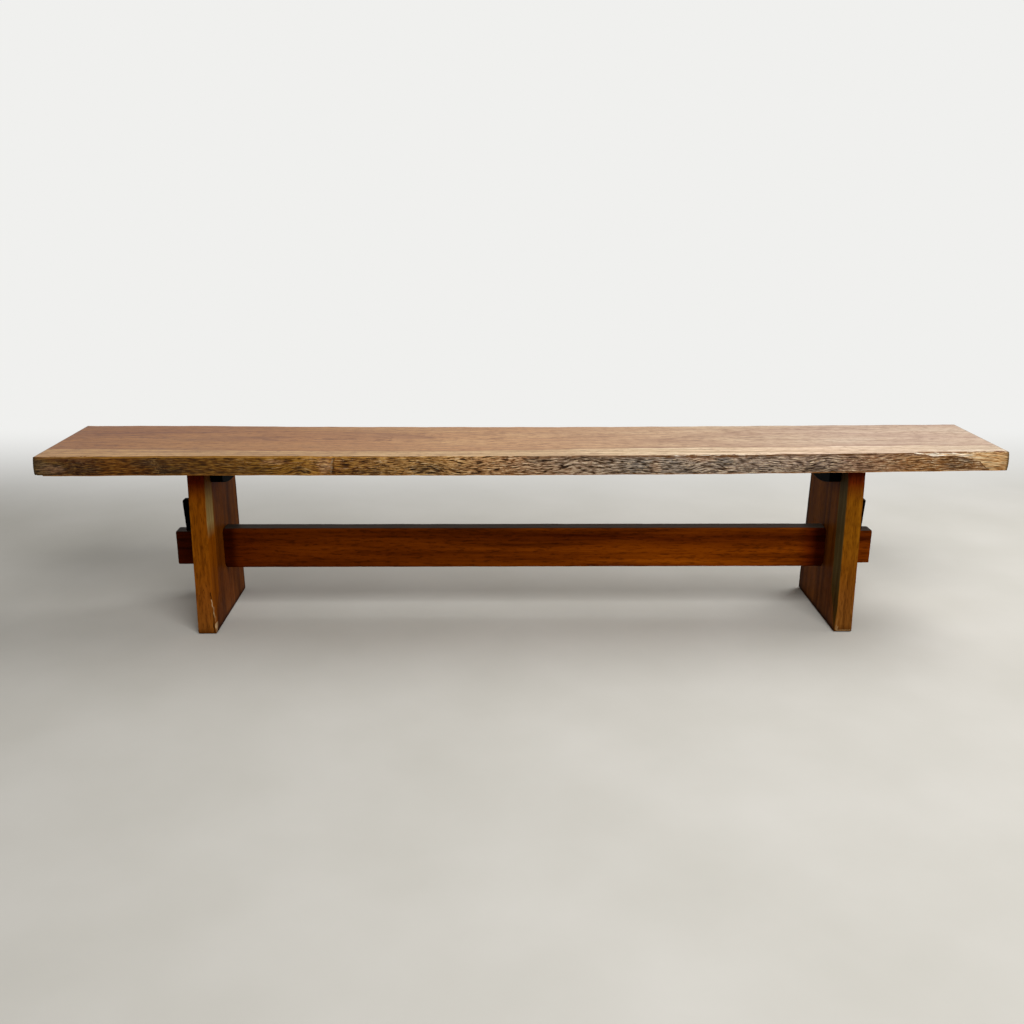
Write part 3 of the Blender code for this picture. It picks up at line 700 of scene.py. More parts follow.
def edgeMarks(tree, wood, shared):
    # pale scratches, most at the two ends and by the eye
    split, lengthwise, along = shared["split"], shared["lengthwise"], shared["along"]
    scratchMap = addNode(
        tree, "Mapping", {"Scale": edgeLook["scratchMap"], "Location": (1, 8, 0)}, {"Vector": along},
    )
    scratches = addNode(
        tree, "TexNoise", {"Scale": 1.0, "Detail": 1, "Distortion": 0.9}, {"Vector": scratchMap},
    )
    scratchOff = addNode(tree, "Math", {"operation": "SUBTRACT", 1: 0.5}, {0: scratches})
    scratchNear = addNode(tree, "Math", {"operation": "ABSOLUTE"}, {0: scratchOff})
    scratchLine = addNode(
        tree, "MapRange", {"interpolation_type": "SMOOTHSTEP", "From Min": 0.050, "From Max": 0.01},
        {"Value": scratchNear},
    )
    scratchZone = addNode(tree, "ValToRGB", {}, {"Fac": lengthwise}, edgeLook["scratchZone"])
    scratchShare = addNode(tree, "Math", {"operation": "MULTIPLY"}, {0: scratchLine, 1: scratchZone})
    wood = addNode(tree, "Mix", {"B": hexColour(edgeLook["scratch"])}, {"Factor": scratchShare, "A": wood})
    # the upright seam: a pale worn line, broken and wandering, with a dark crack beside it
    seamWobble = addNode(
        tree, "Math", {"operation": "MULTIPLY_ADD", 1: 0.016, 2: -slab["seamPlace"] - 0.008},
        {0: shared["wobble"]},
    )
    seamX = addNode(tree, "Math", {"operation": "ADD"}, {0: split.outputs["X"], 1: seamWobble})
    broken = addNode(
        tree, "MapRange", {"From Min": 0.40, "From Max": 0.52, "To Min": 0.25}, {"Value": scratches},
    )
    for middle, halfWidth, strength, colour in (
        (-0.0030, 0.0038, 0.6, "94866e"), (0.0008, 0.0022, 1.0, "241a10"),
    ):
        off = addNode(tree, "Math", {"operation": "SUBTRACT", 1: middle}, {0: seamX})
        near = addNode(tree, "Math", {"operation": "ABSOLUTE"}, {0: off})
        mask = addNode(
            tree, "MapRange",
            {
                "interpolation_type": "SMOOTHSTEP", "From Min": halfWidth, "From Max": 0.0,
                "To Max": strength,
            },
            {"Value": near},
        )
        mask = addNode(tree, "Math", {"operation": "MULTIPLY"}, {0: mask, 1: broken})
        wood = addNode(tree, "Mix", {"B": hexColour(colour)}, {"Factor": mask, "A": wood})
    return wood


def edgeBareWood(tree, wood, shared):
    # pale bare wood where the upper corner is torn
    fibres, threadTone, lengthwise = shared["fibres"], shared["threadTone"], shared["lengthwise"]
    torn = addNode(tree, "Attribute", {"attribute_name": "torn"})
    tornTone = addNode(tree, "ValToRGB", {}, {"Fac": fibres}, edgeLook["tornTone"])
    tornAgeing = addNode(tree, "ValToRGB", {}, {"Fac": lengthwise}, edgeLook["tornAgeing"])
    bareWood = addNode(
        tree, "Mix", {"blend_type": "MULTIPLY", "Factor": 1}, {"A": tornTone, "B": tornAgeing},
    )
    wood = addNode(tree, "Mix", {}, {"Factor": torn.outputs["Fac"], "A": wood, "B": bareWood})
    # the same painted ridge shade lines over the bare wood
    tornThreads = addNode(tree, "Math", {"operation": "MULTIPLY", 1: 0.6}, {0: torn.outputs["Fac"]})
    wood = addNode(
        tree, "Mix", {"blend_type": "MULTIPLY"}, {"Factor": tornThreads, "A": wood, "B": threadTone},
    )
    # brown line where the bare wood ends
    tornEnd = addNode(tree, "Math", {"operation": "SUBTRACT", 1: 0.45}, {0: torn.outputs["Fac"]})
    tornEnd = addNode(tree, "Math", {"operation": "ABSOLUTE"}, {0: tornEnd})
    tornLine = addNode(
        tree, "MapRange", {"From Min": 0.46, "From Max": 0.20, "To Max": 0.9}, {"Value": tornEnd},
    )
    wood = addNode(tree, "Mix", {"B": hexColour(edgeLook["tornEnd"])}, {"Factor": tornLine, "A": wood})
    return wood


def edgeRims(tree, wood, shared):
    # worn lower corner, golden upper corner, and painted shade darkening the ends
    split, lengthwise = shared["split"], shared["lengthwise"]
    low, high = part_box("seat_slab")
    lowest = addNode(
        tree, "MapRange", {"From Min": low.z + 0.0030, "From Max": low.z + 0.0014, "To Max": 0.8},
        {"Value": split.outputs["Z"]},
    )
    lowestPatchy = addNode(tree, "Math", {"operation": "MULTIPLY"}, {0: lowest, 1: shared["warm"]})
    cornerOff = addNode(
        tree, "Math", {"operation": "SUBTRACT", 1: high.z - 0.0022}, {0: split.outputs["Z"]},
    )
    cornerOff = addNode(tree, "Math", {"operation": "ABSOLUTE"}, {0: cornerOff})
    corner = addNode(tree, "MapRange", {"From Min": 0.0022, "From Max": 0.0006}, {"Value": cornerOff})
    cornerZone = addNode(tree, "ValToRGB", {}, {"Fac": lengthwise}, edgeLook["cornerZone"])
    cornerShare = addNode(tree, "Math", {"operation": "MULTIPLY"}, {0: corner, 1: cornerZone})
    # painted shade at the two ends
    endRim = addNode(tree, "Attribute", {"attribute_name": "endRim"})
    endShare = addNode(tree, "Math", {"operation": "MULTIPLY", 1: 0.75}, {0: endRim.outputs["Fac"]})
    for mask, colour in (
        (lowestPatchy, "lowerCorner"), (cornerShare, "upperCorner"), (endShare, "sawnRim"),
    ):
        wood = addNode(tree, "Mix", {"B": hexColour(edgeLook[colour])}, {"Factor": mask, "A": wood})
    return wood


def weatheredLiveEdge():
    # bark gone, cambium ridges left to weather, so dull, with painted shade in the hollows and pale crests
    live, tree = newMaterial("weatheredLiveEdge")
    wood, shared = edgeGround(tree)
    for addLayer in (edgeRidges, edgeMarks, edgeBareWood, edgeRims):
        wood = addLayer(tree, wood, shared)
    height = addNode(
        tree, "Math", {"operation": "MULTIPLY_ADD", 1: 1.6},
        {0: shared["threads"], 2: shared["fibres"]},
    )
    bump = addNode(tree, "Bump", {"Strength": 0.7, "Distance": 0.0011}, {"Height": height})
    rough = addNode(tree, "MapRange", {"To Min": 0.55, "To Max": 0.85}, {"Value": shared["fibres"]})
    finishMaterial(tree, {"IOR": 1.2}, {"Base Color": wood, "Roughness": rough, "Normal": bump})
    return live


# tones of the sawn ends: place along the ramp, colour
endTones = {
    "ringTone": [(0, "9a7650"), (0.7, "87633f"), (1, "5c4028")],
    "poreTone": [(0.36, "5a4434"), (0.46, "ffffff")],
}


def sawnEndGrain():
    # the same growth rings met across the fibres, darker, drier and full of pores
    end, tree = newMaterial("sawnEndGrain")
    place = addNode(tree, "TexCoord").outputs["Object"]
    pith = addNode(tree, "Mapping", {"Location": slab["pith"]}, {"Vector": place})
    rings = addNode(
        tree, "TexWave",
        {
            "wave_type": "RINGS", "rings_direction": "X", "wave_profile": "SAW",
            "Scale": math.tau / 20 / slab["ringGap"], "Distortion": 1.6, "Detail": 3,
        },
        {"Vector": pith},
    )
    ringTone = addNode(tree, "ValToRGB", {}, {"Fac": rings.outputs["Fac"]}, endTones["ringTone"])
    pores = addNode(tree, "TexNoise", {"Scale": 850, "Detail": 3}, {"Vector": place})
    poreTone = addNode(tree, "ValToRGB", {}, {"Fac": pores}, endTones["poreTone"])
    wood = addNode(tree, "Mix", {"blend_type": "MULTIPLY", "Factor": 0.8}, {"A": ringTone, "B": poreTone})
    bump = addNode(tree, "Bump", {"Strength": 0.5, "Distance": 0.0005}, {"Height": pores})
    rough = addNode(tree, "MapRange", {"To Min": 0.6, "To Max": 0.8}, {"Value": rings.outputs["Fac"]})
    finishMaterial(
        tree, {"IOR": 1.45, "Specular IOR Level": 0.2},
        {"Base Color": wood, "Roughness": rough, "Normal": bump},
    )
    return end


def paintSlab(piece, materials):
    for material in materials:
        piece.data.materials.append(material)
    live, torn = piece.data.attributes["live"].data, piece.data.attributes["torn"].data
    for face in piece.data.polygons:
        natural = min(live[v].value for v in face.vertices) > 0.5 and abs(face.normal.x) < 0.8
        split = max(torn[v].value for v in face.vertices) > 0.25
        face.material_index = 2 if abs(face.normal.x) > 0.8 else 1 if natural or split else 0


low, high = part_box("seat_slab")
thickness = high.z - low.z
seatSlab = buildSlab()
paintSlab(seatSlab, (oiledWalnutTop(), weatheredLiveEdge(), sawnEndGrain()))
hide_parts("seat_slab")
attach(seatSlab, "bench")
print("seat slab:", len(seatSlab.data.polygons), "faces")


# Base: legs, stretcher, wedges and cleats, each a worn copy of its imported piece

def strokeMask(tree, place, start, end, halfWidth):
    # 1 along a thin given stroke on a front face, between two places in x and z
    (x0, z0), (x1, z1) = start, end
    span = Vector((x1 - x0, 0, z1 - z0))
    flat = addNode(tree, "VectorMath", {"operation": "MULTIPLY", 1: (1, 0, 1)}, {0: place})
    away = addNode(tree, "VectorMath", {"operation": "SUBTRACT", 1: (x0, 0, z0)}, {0: flat})
    along = addNode(
        tree, "VectorMath", {"operation": "DOT_PRODUCT", 1: span / span.length_squared}, {0: away},
    )
    held = addNode(tree, "Math", {"operation": "MAXIMUM", 1: 0.0}, {0: along.outputs["Value"]})
    held = addNode(tree, "Math", {"operation": "MINIMUM", 1: 1.0}, {0: held})
    foot = addNode(tree, "VectorMath", {"operation": "SCALE", 0: span}, {"Scale": held})
    gap = addNode(tree, "VectorMath", {"operation": "DISTANCE"}, {0: away, 1: foot})
    return addNode(
        tree, "MapRange",
        {"interpolation_type": "SMOOTHSTEP", "From Min": halfWidth, "From Max": halfWidth * 0.3},
        {"Value": gap.outputs["Value"]},
    )


varnish = {
    # painted shade at the legs' rear edges and feet
    "grimeColour": "4a3a30",
    # painted shade and reflection on the upward faces
    "dustColour": "3e3a33",
    "grainTone": [(0.32, "8c765c"), (0.50, "e2d9ce"), (0.66, "ffffff")],
    "fleckTone": [(0.34, "6a543e"), (0.46, "f0e9e0"), (0.56, "ffffff")],
    "wander": (50, 50, 75),        # how often the strokes sway in a metre
    "strokeSway": 0.007,
    "frontBand": (-0.120, -0.128),  # strokes are on the legs' front faces only, past this y
}


def addStrokes(tree, wood, place, split, strokes):
    # thin listed strokes on the legs' front faces, which wander by a millimetre or so and come and go
    reach = varnish["strokeSway"]
    wanderMap = addNode(tree, "Mapping", {"Scale": varnish["wander"]}, {"Vector": place})
    wander = addNode(tree, "TexNoise", {"Scale": 1.0, "Detail": 3}, {"Vector": wanderMap})
    wanderOff = addNode(
        tree, "VectorMath",
        {"operation": "MULTIPLY_ADD", 1: (reach, 0, reach), 2: (-reach / 2, 0, -reach / 2)},
        {0: wander.outputs["Color"]},
    )
    strokePlace = addNode(tree, "VectorMath", {"operation": "ADD"}, {0: place, 1: wanderOff})
    worn = addNode(
        tree, "MapRange", {"From Min": 0.38, "From Max": 0.50, "To Min": 0.35}, {"Value": wander},
    )
    onFront = addNode(
        tree, "MapRange", {"From Min": varnish["frontBand"][0], "From Max": varnish["frontBand"][1]},
        {"Value": split.outputs["Y"]},
    )
    for start, end, halfWidth, colour in strokes:
        mask = strokeMask(tree, strokePlace, start, end, halfWidth)
        mask = addNode(tree, "Math", {"operation": "MULTIPLY"}, {0: mask, 1: worn})
        mask = addNode(tree, "Math", {"operation": "MULTIPLY"}, {0: mask, 1: onFront})
        wood = addNode(tree, "Mix", {"B": hexColour(colour)}, {"Factor": mask, "A": wood})
    return wood


def varnishedWood(name, look):
    # straight-grained hardwood under satin varnish: warm, a little glassy, with long figure and dark pores
    material, tree = newMaterial(name)
    across, fine = [70, 70, 70], [620, 620, 620]
    across[look["grainAxis"]] = 3.0
    fine[look["grainAxis"]] = 34
    place = addNode(tree, "TexCoord").outputs["Object"]
    offset = (look["seed"], look["seed"] * 1.7, look["seed"] * 0.6)
    broadMap = addNode(
        tree, "Mapping", {"Scale": [s * 0.22 for s in across], "Location": offset}, {"Vector": place},
    )
    broad = addNode(
        tree, "TexNoise", {"Scale": 1.0, "Detail": 4, "Roughness": 0.55, "Distortion": 0.4},
        {"Vector": broadMap},
    )
    grainMap = addNode(tree, "Mapping", {"Scale": across, "Location": offset}, {"Vector": place})
    grain = addNode(
        tree, "TexNoise", {"Scale": 1.0, "Detail": 6, "Roughness": 0.62, "Distortion": 0.25},
        {"Vector": grainMap},
    )
    poreMap = addNode(tree, "Mapping", {"Scale": fine, "Location": offset}, {"Vector": place})
    pores = addNode(tree, "TexNoise", {"Scale": 1.0, "Detail": 3}, {"Vector": poreMap})
    stops = (0.30, 0.50, 0.70)
    wood = addNode(tree, "ValToRGB", {}, {"Fac": broad}, list(zip(stops, look["colours"])))
    fleckMap = addNode(
        tree, "Mapping", {"Scale": [44 if s < 10 else 270 for s in across], "Location": offset},
        {"Vector": place},
    )
    flecks = addNode(tree, "TexNoise", {"Scale": 1.0, "Detail": 2, "Roughness": 0.6}, {"Vector": fleckMap})
    # the legs' side faces take a darker copy of the colours, painted shade; the stretcher's end faces take
    # its darker colours
    broadFace = addNode(tree, "ValToRGB", {}, {"Fac": broad}, list(zip(stops, look["faceColours"])))
    faceShare = addNode(tree, "Attribute", {"attribute_name": "broadFace"})
    wood = addNode(tree, "Mix", {}, {"Factor": faceShare.outputs["Fac"], "A": wood, "B": broadFace})
    grainTone = addNode(tree, "ValToRGB", {}, {"Fac": grain}, varnish["grainTone"])
    wood = addNode(
        tree, "Mix", {"blend_type": "MULTIPLY", "Factor": look["figure"]}, {"A": wood, "B": grainTone},
    )
    fleckTone = addNode(tree, "ValToRGB", {}, {"Fac": flecks}, varnish["fleckTone"])
    wood = addNode(
        tree, "Mix", {"blend_type": "MULTIPLY", "Factor": look["flecks"]}, {"A": wood, "B": fleckTone},
    )
    # tone along the bench and up the piece: painted shade on the stretcher, darker towards its left and
    # beside the legs, the right leg painted a little darker, painted shade under the seat at the legs'
    # tops, and greyer at the feet, where they are scuffed
    split = addNode(tree, "SeparateXYZ", {}, {"Vector": place})
    along = addNode(tree, "MapRange", {"From Min": -0.9, "From Max": 0.9}, {"Value": split.outputs["X"]})
    upward = addNode(tree, "MapRange", {"From Min": 0.0, "From Max": 0.39}, {"Value": split.outputs["Z"]})
    for share, tones in ((along, look["alongTones"]), (upward, look["upTones"])):
        tone = addNode(tree, "ValToRGB", {}, {"Fac": share}, tones)
        wood = addNode(tree, "Mix", {"blend_type": "MULTIPLY", "Factor": 1}, {"A": wood, "B": tone})
    # the wane, the sapwood side of each leg's inner face, has a tone of its own, painted as lit on the left
    # leg and as in shade on the right leg, with painted shade under the seat at the top
    onRight = addNode(tree, "MapRange", {"From Min": -0.1, "From Max": 0.1}, {"Value": split.outputs["X"]})
    waneLeft = addNode(tree, "ValToRGB", {}, {"Fac": upward}, look["waneLeft"])
    waneRight = addNode(tree, "ValToRGB", {}, {"Fac": upward}, look["waneRight"])
    waneLitAndShaded = addNode(tree, "Mix", {}, {"Factor": onRight, "A": waneLeft, "B": waneRight})
    waneWood = addNode(
        tree, "Mix", {"blend_type": "MULTIPLY", "Factor": look["figure"]},
        {"A": waneLitAndShaded, "B": grainTone},
    )
    wane = addNode(tree, "Attribute", {"attribute_name": "wane"})
    wood = addNode(tree, "Mix", {}, {"Factor": wane.outputs["Fac"], "A": wood, "B": waneWood})
    # painted shade along the legs' rear edges and where the feet meet the floor
    grime = addNode(tree, "Attribute", {"attribute_name": "grime"})
    wood = addNode(
        tree, "Mix", {"blend_type": "MULTIPLY", "B": hexColour(varnish["grimeColour"])},
        {"Factor": grime.outputs["Fac"], "A": wood},
    )
    poreMask = addNode(
        tree, "MapRange", {"From Min": 0.40, "From Max": 0.30, "To Max": look["pores"]},
        {"Value": pores},
    )
    wood = addNode(tree, "Mix", {"B": hexColour(look["poreColour"])}, {"Factor": poreMask, "A": wood})
    if look["strokes"]:
        wood = addStrokes(tree, wood, place, split, look["strokes"])
    # painted shade and a grey painted reflection on the upward faces
    surface = addNode(tree, "NewGeometry")
    facing = addNode(tree, "SeparateXYZ", {}, {"Vector": surface.outputs["Normal"]})
    dust = addNode(
        tree, "MapRange", {"From Min": 0.75, "From Max": 1.0, "To Max": look["dust"]},
        {"Value": facing.outputs["Z"]},
    )
    wood = addNode(tree, "Mix", {"B": hexColour(varnish["dustColour"])}, {"Factor": dust, "A": wood})
    rough = addNode(
        tree, "MapRange", {"To Min": look["gloss"] - 0.07, "To Max": look["gloss"] + 0.09},
        {"Value": grain},
    )
    bump = addNode(tree, "Bump", {"Strength": 0.3, "Distance": 0.0003}, {"Height": pores})
    finishMaterial(
        tree, {"IOR": look["ior"], "Specular IOR Level": look["shine"]},
        {"Base Color": wood, "Roughness": rough, "Normal": bump},
    )
    return material


def wornCopy(name, nodeName, voxel, unevenness, hollowSize):
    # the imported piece's mesh, merged, remeshed evenly and left a little uneven, as by a hand plane
    source = nodes[nodeName]
    deselectAll()
    source.select_set(True)
    bpy.context.view_layer.objects.active = source
    bpy.ops.object.duplicate()
    piece = bpy.context.object
    piece.name = name
    for key in list(piece.keys()):
        del piece[key]
    piece.parent = None
    piece.data.materials.clear()
    bpy.ops.object.mode_set(mode="EDIT")
    bpy.ops.mesh.select_all(action="SELECT")
    bpy.ops.mesh.remove_doubles(threshold=0.00001)
    bpy.ops.object.mode_set(mode="OBJECT")
    applyModifier(piece, "evenMesh", "REMESH", {"mode": "VOXEL", "voxel_size": voxel})
    clouds = textureFor("CLOUDS", name + "Plane", {"noise_scale": hollowSize, "noise_depth": 2})
    applyModifier(
        piece, "planeMarks", "DISPLACE",
        {"texture": clouds, "texture_coords": "LOCAL", "strength": unevenness, "mid_level": 0.9},
    )
    makeActive(piece)
    bpy.ops.object.shade_smooth()
    return piece


base = {
    "leg": {"voxel": 0.0020, "unevenness": 0.0008, "hollowSize": 0.045},
    "stretcher": {"voxel": 0.0026, "unevenness": 0.0008, "hollowSize": 0.06},
    "wedge": {"voxel": 0.0011, "unevenness": 0.0004, "hollowSize": 0.02},
    "cleat": {"voxel": 0.0013, "unevenness": 0.0004, "hollowSize": 0.03},
}
legLook = {
    "grainAxis": 2, "seed": 2.0, "gloss": 0.42, "shine": 0.5, "ior": 1.04, "dust": 0,
    "figure": 0.75, "pores": 0.6, "flecks": 0.45, "poreColour": "2a1204",
    "colours": ("7e4618", "985c20", "ac6e2c"),
    # painted shade: a darker copy of the colours for the side faces
    "faceColours": ("633718", "7e4820", "9b5c28"),
    # painted shade: the right leg a little darker and cooler than the left
    "alongTones": [(0.4, "ffffff"), (0.6, "dae0ee")],
    # painted shade under the seat: darker and redder at the top; greyer at the foot, where it is scuffed
    "upTones": [
        (0, "d8d0c4"), (0.05, "ffffff"), (0.22, "fff4e0"), (0.38, "fff0a0"), (0.55, "fff488"),
        (0.80, "fff488"), (0.92, "b4705a"), (1, "783a2c"),
    ],
    # the left leg's wane painted as lit, with painted shade under the seat at the top
    "waneLeft": [
        (0.0, "904e08"), (0.58, "945008"), (0.68, "a08a58"), (0.82, "8c7242"), (0.90, "6a4620"),
        (0.97, "4a2412"),
    ],
    # the right leg's wane painted as in shade
    "waneRight": [(0.0, "48300c"), (0.22, "4a3612"), (0.4, "544628"), (0.8, "5c5034"), (1, "2c1c12")],
    # crack and splinter at the left foot, specks, and the scuffed lower edge of the right foot
    "strokes": (
        ((-0.7318, 0.100), (-0.7296, 0.060), 0.0014, "1c0e04"),
        ((-0.7296, 0.060), (-0.7288, 0.003), 0.0016, "1c0e04"),
        ((-0.7310, 0.083), (-0.7282, 0.050), 0.0013, "c8a880"),
        ((-0.7282, 0.050), (-0.7262, 0.030), 0.0010, "b89468"),
        ((-0.7240, 0.024), (-0.7252, 0.004), 0.0021, "c4a276"),
        ((-0.7610, 0.112), (-0.7610, 0.104), 0.0012, "3a1c04"),
        ((-0.7470, 0.108), (-0.7470, 0.104), 0.0010, "3a1c04"),
        ((-0.7570, 0.096), (-0.7565, 0.092), 0.0009, "3a1c04"),
        ((-0.7400, 0.119), (-0.7400, 0.115), 0.0009, "3a1c04"),
        ((0.7232, 0.0050), (0.7540, 0.0056), 0.0013, "b08a5c"),
        ((0.7228, 0.0052), (0.7205, 0.0180), 0.0014, "a88458"),
        ((0.7205, 0.018), (0.7222, 0.0330), 0.0010, "94703e"),
        ((0.7262, 0.0140), (0.7250, 0.0070), 0.0010, "b08a5c"),
    ),
}
stretcherLook = {
    "grainAxis": 0, "seed": 5.0, "gloss": 0.36, "shine": 0.5, "ior": 1.05, "dust": 0.85,
    "figure": 0.8, "pores": 0.3, "flecks": 0.5, "poreColour": "1c0600",
    "colours": ("541e02", "843e02", "ac580a"),
    "faceColours": ("4a2210", "5a2c12", "6a3614"),
    # painted shade: darker towards the left, darkest on the left tenon in the left leg's shade, and a dark
    # band beside the right leg
    "alongTones": [
        (0.06, "7c6058"), (0.108, "6a5048"), (0.118, "b49c94"), (0.16, "c0b0b0"), (0.45, "e0dcdc"),
        (0.7, "ffffff"), (0.858, "ffffff"), (0.876, "c8a898"), (0.887, "6e5044"), (0.905, "6e5044"),
        (0.918, "f0e6e0"),
    ],
    "upTones": [(0, "ffffff"), (1, "ffffff")],
    "waneLeft": [(0, "5e2402")],
    "waneRight": [(0, "5e2402")],
    "strokes": (),
}
legVarnish = varnishedWood("satinVarnishedLegs", legLook)
stretcherVarnish = varnishedWood("satinVarnishedStretcher", stretcherLook)


def markPiece(piece, rules):
    # one point attribute for each rule, worked out from a vertex's place and facing
    for name, rule in rules.items():
        values = [rule(vert.co, vert.normal) for vert in piece.data.vertices]
        piece.data.attributes.new(name, "FLOAT", "POINT")
        piece.data.attributes[name].data.foreach_set("value", values)


def legRules(inward):
    # inward is the x direction of the face toward the other leg
    low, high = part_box("leg_left")
    shape = {
        "footFront": low.y, "footRear": high.y, "topFront": low.y + 0.0195,
        "waneWidth": 0.040, "waneRise": 0.09,
    }
    slope = shape["topFront"] - shape["footFront"]

    def pastWane(place):
        # 1 on the front edge's side of the wane's inner line
        front = shape["footFront"] + slope * place.z / high.z
        reach = front + shape["waneWidth"] * min(1, place.z / shape["waneRise"])
        return smoothStep(0.003, -0.003, place.y - reach)

    # 1 on the side faces off the wane, which take the darker painted-shade colours
    def broadFace(place, facing):
        onWane = pastWane(place) if facing.x * inward > 0 else 0
        return 1 - max(onWane, smoothStep(0.96, 0.80, abs(facing.x)))

    # painted shade: darker along the rear edge and at the floor
    def grime(place, facing):
        rear = shape["footRear"] - slope * place.z / high.z
        most = max(smoothStep(0.015, 0.003, rear - place.y), smoothStep(0.016, 0.003, place.z))
        return 0.75 * most * (1 if abs(facing.x) > 0.5 else 0.3)

    def wane(place, facing):
        return pastWane(place) * smoothStep(0.5, 0.9, facing.x * inward)

    return {"broadFace": broadFace, "grime": grime, "wane": wane}


def splitFoot(piece):
    # the drying crack up the front of the left foot
    cutter = addBlock("footCrack", (-0.7297, -0.150, 0.002), (-0.7288, -0.1335, 0.103))
    applyModifier(
        piece, "crack", "BOOLEAN", {"operation": "DIFFERENCE", "object": cutter, "solver": "EXACT"},
    )
    bpy.data.objects.remove(cutter)


def ebonisedWood():
    # hardwood stained black: neutral, satin, its grain only felt
    material, tree = newMaterial("ebonisedHardwood")
    place = addNode(tree, "TexCoord").outputs["Object"]
    stretch = addNode(tree, "Mapping", {"Scale": (300, 300, 18)}, {"Vector": place})
    grain = addNode(tree, "TexNoise", {"Scale": 1.0, "Detail": 4}, {"Vector": stretch})
    tone = addNode(
        tree, "ValToRGB", {}, {"Fac": grain}, [(0.3, "020202"), (0.55, "040404"), (0.75, "080706")],
    )
    rough = addNode(tree, "MapRange", {"To Min": 0.38, "To Max": 0.56}, {"Value": grain})
    bump = addNode(tree, "Bump", {"Strength": 0.35, "Distance": 0.0003}, {"Height": grain})
    finishMaterial(tree, {"IOR": 1.03}, {"Base Color": tone, "Roughness": rough, "Normal": bump})
    return material


def dullSteel():
    # zinc-dulled steel: grey metal with fine turned scratches
    material, tree = newMaterial("dullSteelScrew")
    place = addNode(tree, "TexCoord").outputs["Object"]
    grit = addNode(tree, "TexNoise", {"Scale": 900, "Detail": 4}, {"Vector": place})
    tone = addNode(tree, "ValToRGB", {}, {"Fac": grit}, [(0.3, "6f6b63"), (0.7, "a09a8e")])
    rough = addNode(tree, "MapRange", {"To Min": 0.3, "To Max": 0.55}, {"Value": grit})
    finishMaterial(tree, {"Metallic": 1.0}, {"Base Color": tone, "Roughness": rough})
    return material


ebony = ebonisedWood()
steel = dullSteel()

beam = wornCopy("stretcherBeam", "stretcher", **base["stretcher"])
beam.data.materials.append(stretcherVarnish)
markPiece(beam, {
    "broadFace": lambda place, facing: smoothStep(0.8, 0.95, abs(facing.x)),
    "grime": lambda place, facing: 0,
    "wane": lambda place, facing: 0,
})
print("stretcher:", len(beam.data.polygons), "faces")
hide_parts("stretcher")
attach(beam, "bench")
for side in ("left", "right"):
    for kind, material, body, slot in (
        ("leg", legVarnish, "bench", "leg"),
        ("wedge", ebony, side + "_tusk", "ebonised"),
        ("cleat", ebony, "bench", "ebonised"),
    ):
        nodeName = kind + "_" + side
        piece = wornCopy(kind + side.capitalize(), nodeName, **base[kind])
        piece.data.materials.append(material)
        if kind == "leg":
            markPiece(piece, legRules(1 if side == "left" else -1))
            if side == "left":
                splitFoot(piece)
        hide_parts(nodeName)
        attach(piece, body)
        print(nodeName + ":", len(piece.data.polygons), "faces")
for name, node in nodes.items():
    if "screw" in name:
        node.data.materials.clear()
        node.data.materials.append(steel)
print("base and joinery")


# Studio: a pale bowl-shaped sweep, soft lamps and the photograph's camera

studio = {
    "radius": 5.0,
    "wall": 3.2,
    "sweep": 1.4,
    "floorColour": "c9c6bf",
    "floorShade": "c1beb6",
    "backdropColour": "f0f0ee",
    "sky": 0.30,
    # lamps: name, place, what it is turned to, size, watts
    "lamps": (
        ("keyLamp", (0.6, -2.2, 2.7), (0.1, 0, 0.3), (2.0, 1.4), 72),
        ("topLamp", (2.0, 0.6, 2.3), (0.5, 0, 0.4), (1.8, 1.4), 52),
    ),
}
# the photograph's viewpoint, solved from the bench's straight edges
view = {
    "place": (-0.0845, -2.340, 0.976), "turn": 0.02003, "dip": 0.29953, "lean": 0.00489,
    "focalPixels": 1025.37, "pictureWidth": 1024,
}


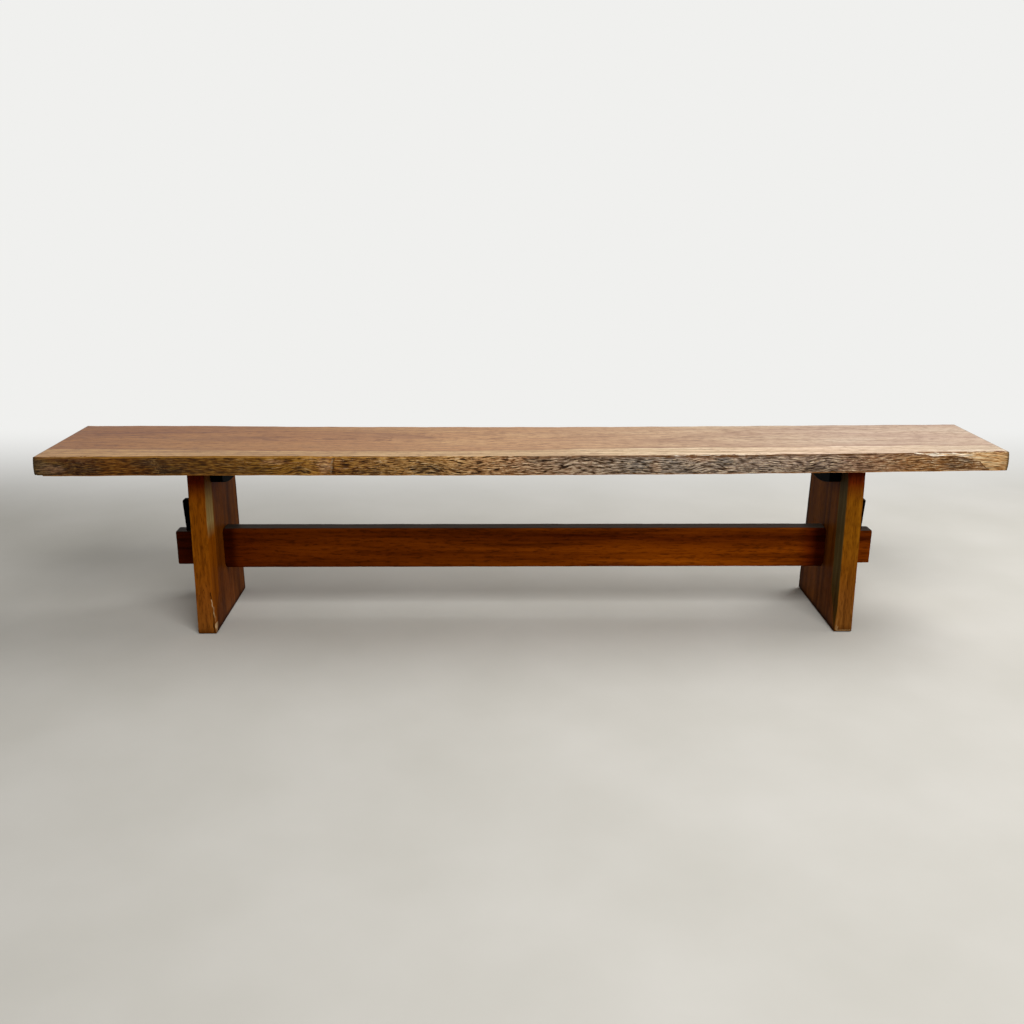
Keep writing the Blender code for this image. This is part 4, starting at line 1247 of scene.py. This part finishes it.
def buildStudio():
    deselectAll()
    bpy.ops.mesh.primitive_circle_add(vertices=128, radius=studio["radius"], fill_type="NGON")
    floor = bpy.context.object
    floor.name = "studioSweep"
    bpy.ops.object.mode_set(mode="EDIT")
    bpy.ops.mesh.select_all(action="DESELECT")
    bpy.ops.mesh.select_mode(type="EDGE")
    selectEdges(floor, lambda edge: edge.is_boundary)
    bpy.ops.mesh.extrude_edges_move(TRANSFORM_OT_translate={"value": (0, 0, studio["wall"])})
    selectEdges(floor, lambda edge: not edge.is_boundary and all(v.co.z < 0.01 for v in edge.verts))
    bpy.ops.mesh.bevel(offset=studio["sweep"], segments=16, affect="EDGES")
    bpy.ops.object.mode_set(mode="OBJECT")
    bpy.ops.object.shade_smooth()
    material, tree = newMaterial("paleMattPaint")
    place = addNode(tree, "TexCoord").outputs["Object"]
    mottle = addNode(tree, "TexNoise", {"Scale": 3.0, "Detail": 5}, {"Vector": place})
    tone = addNode(
        tree, "ValToRGB", {}, {"Fac": mottle},
        [(0.3, studio["floorShade"]), (0.7, studio["floorColour"])],
    )
    paint = addNode(tree, "BsdfDiffuse", {}, {"Color": tone})
    # far from the bench the sweep shows as even pale paper, also in reflections, without lighting it
    glow = addNode(tree, "Emission", {"Color": hexColour(studio["backdropColour"]), "Strength": 1.0})
    reach = addNode(tree, "VectorMath", {"operation": "LENGTH"}, {0: place})
    around = addNode(
        tree, "MapRange", {"interpolation_type": "SMOOTHSTEP", "From Min": 1.8, "From Max": 3.6},
        {"Value": reach.outputs["Value"]},
    )
    split = addNode(tree, "SeparateXYZ", {}, {"Vector": place})
    behind = addNode(
        tree, "MapRange", {"interpolation_type": "SMOOTHSTEP", "From Min": 0.60, "From Max": 2.1},
        {"Value": split.outputs["Y"]},
    )
    far = addNode(tree, "Math", {"operation": "MAXIMUM"}, {0: around, 1: behind})
    path = addNode(tree, "LightPath")
    seen = addNode(
        tree, "Math", {"operation": "MAXIMUM"},
        {0: path.outputs["Is Camera Ray"], 1: path.outputs["Is Glossy Ray"]},
    )
    seen = addNode(
        tree, "Math", {"operation": "MAXIMUM"}, {0: seen, 1: path.outputs["Is Transmission Ray"]},
    )
    share = addNode(tree, "Math", {"operation": "MULTIPLY"}, {0: seen, 1: far})
    mixed = addNode(tree, "MixShader", {}, {"Fac": share, 1: paint, 2: glow})
    addNode(tree, "OutputMaterial", {}, {"Surface": mixed})
    floor.data.materials.append(material)


def addLamp(name, place, target, size, power):
    lamp = bpy.data.lights.new(name, "AREA")
    lamp.shape = "RECTANGLE"
    lamp.size, lamp.size_y = size
    lamp.energy = power
    item = bpy.data.objects.new(name, lamp)
    item.location = place
    item.rotation_euler = (Vector(target) - Vector(place)).to_track_quat("-Z", "Y").to_euler()
    bpy.context.scene.collection.objects.link(item)


def lightStudio():
    world = bpy.data.worlds.new("softSky")
    world.use_nodes = True
    tree = world.node_tree
    tree.nodes.clear()
    sky = addNode(tree, "Background", {"Color": (1, 1, 1, 1), "Strength": studio["sky"]})
    addNode(tree, "OutputWorld", {}, {"Surface": sky})
    bpy.context.scene.world = world
    for lamp in studio["lamps"]:
        addLamp(*lamp)


def placeCamera():
    turn, dip, lean = view["turn"], view["dip"], view["lean"]
    ahead = Vector((math.sin(turn) * math.cos(dip), math.cos(turn) * math.cos(dip), -math.sin(dip)))
    side = Vector((math.cos(turn), -math.sin(turn), 0))
    up = side.cross(ahead)
    sideLeant = side * math.cos(lean) + up * math.sin(lean)
    upLeant = up * math.cos(lean) - side * math.sin(lean)
    camera = bpy.data.cameras.new("photoCamera")
    camera.sensor_width = 36
    camera.lens = camera.sensor_width * view["focalPixels"] / view["pictureWidth"]
    item = bpy.data.objects.new("photoCamera", camera)
    item.matrix_world = Matrix((sideLeant, upLeant, -ahead)).transposed().to_4x4()
    item.location = view["place"]
    bpy.context.scene.collection.objects.link(item)
    bpy.context.scene.camera = item


buildStudio()
lightStudio()
placeCamera()
bpy.context.scene.view_settings.view_transform = "Standard"
print("studio, lamps and camera")
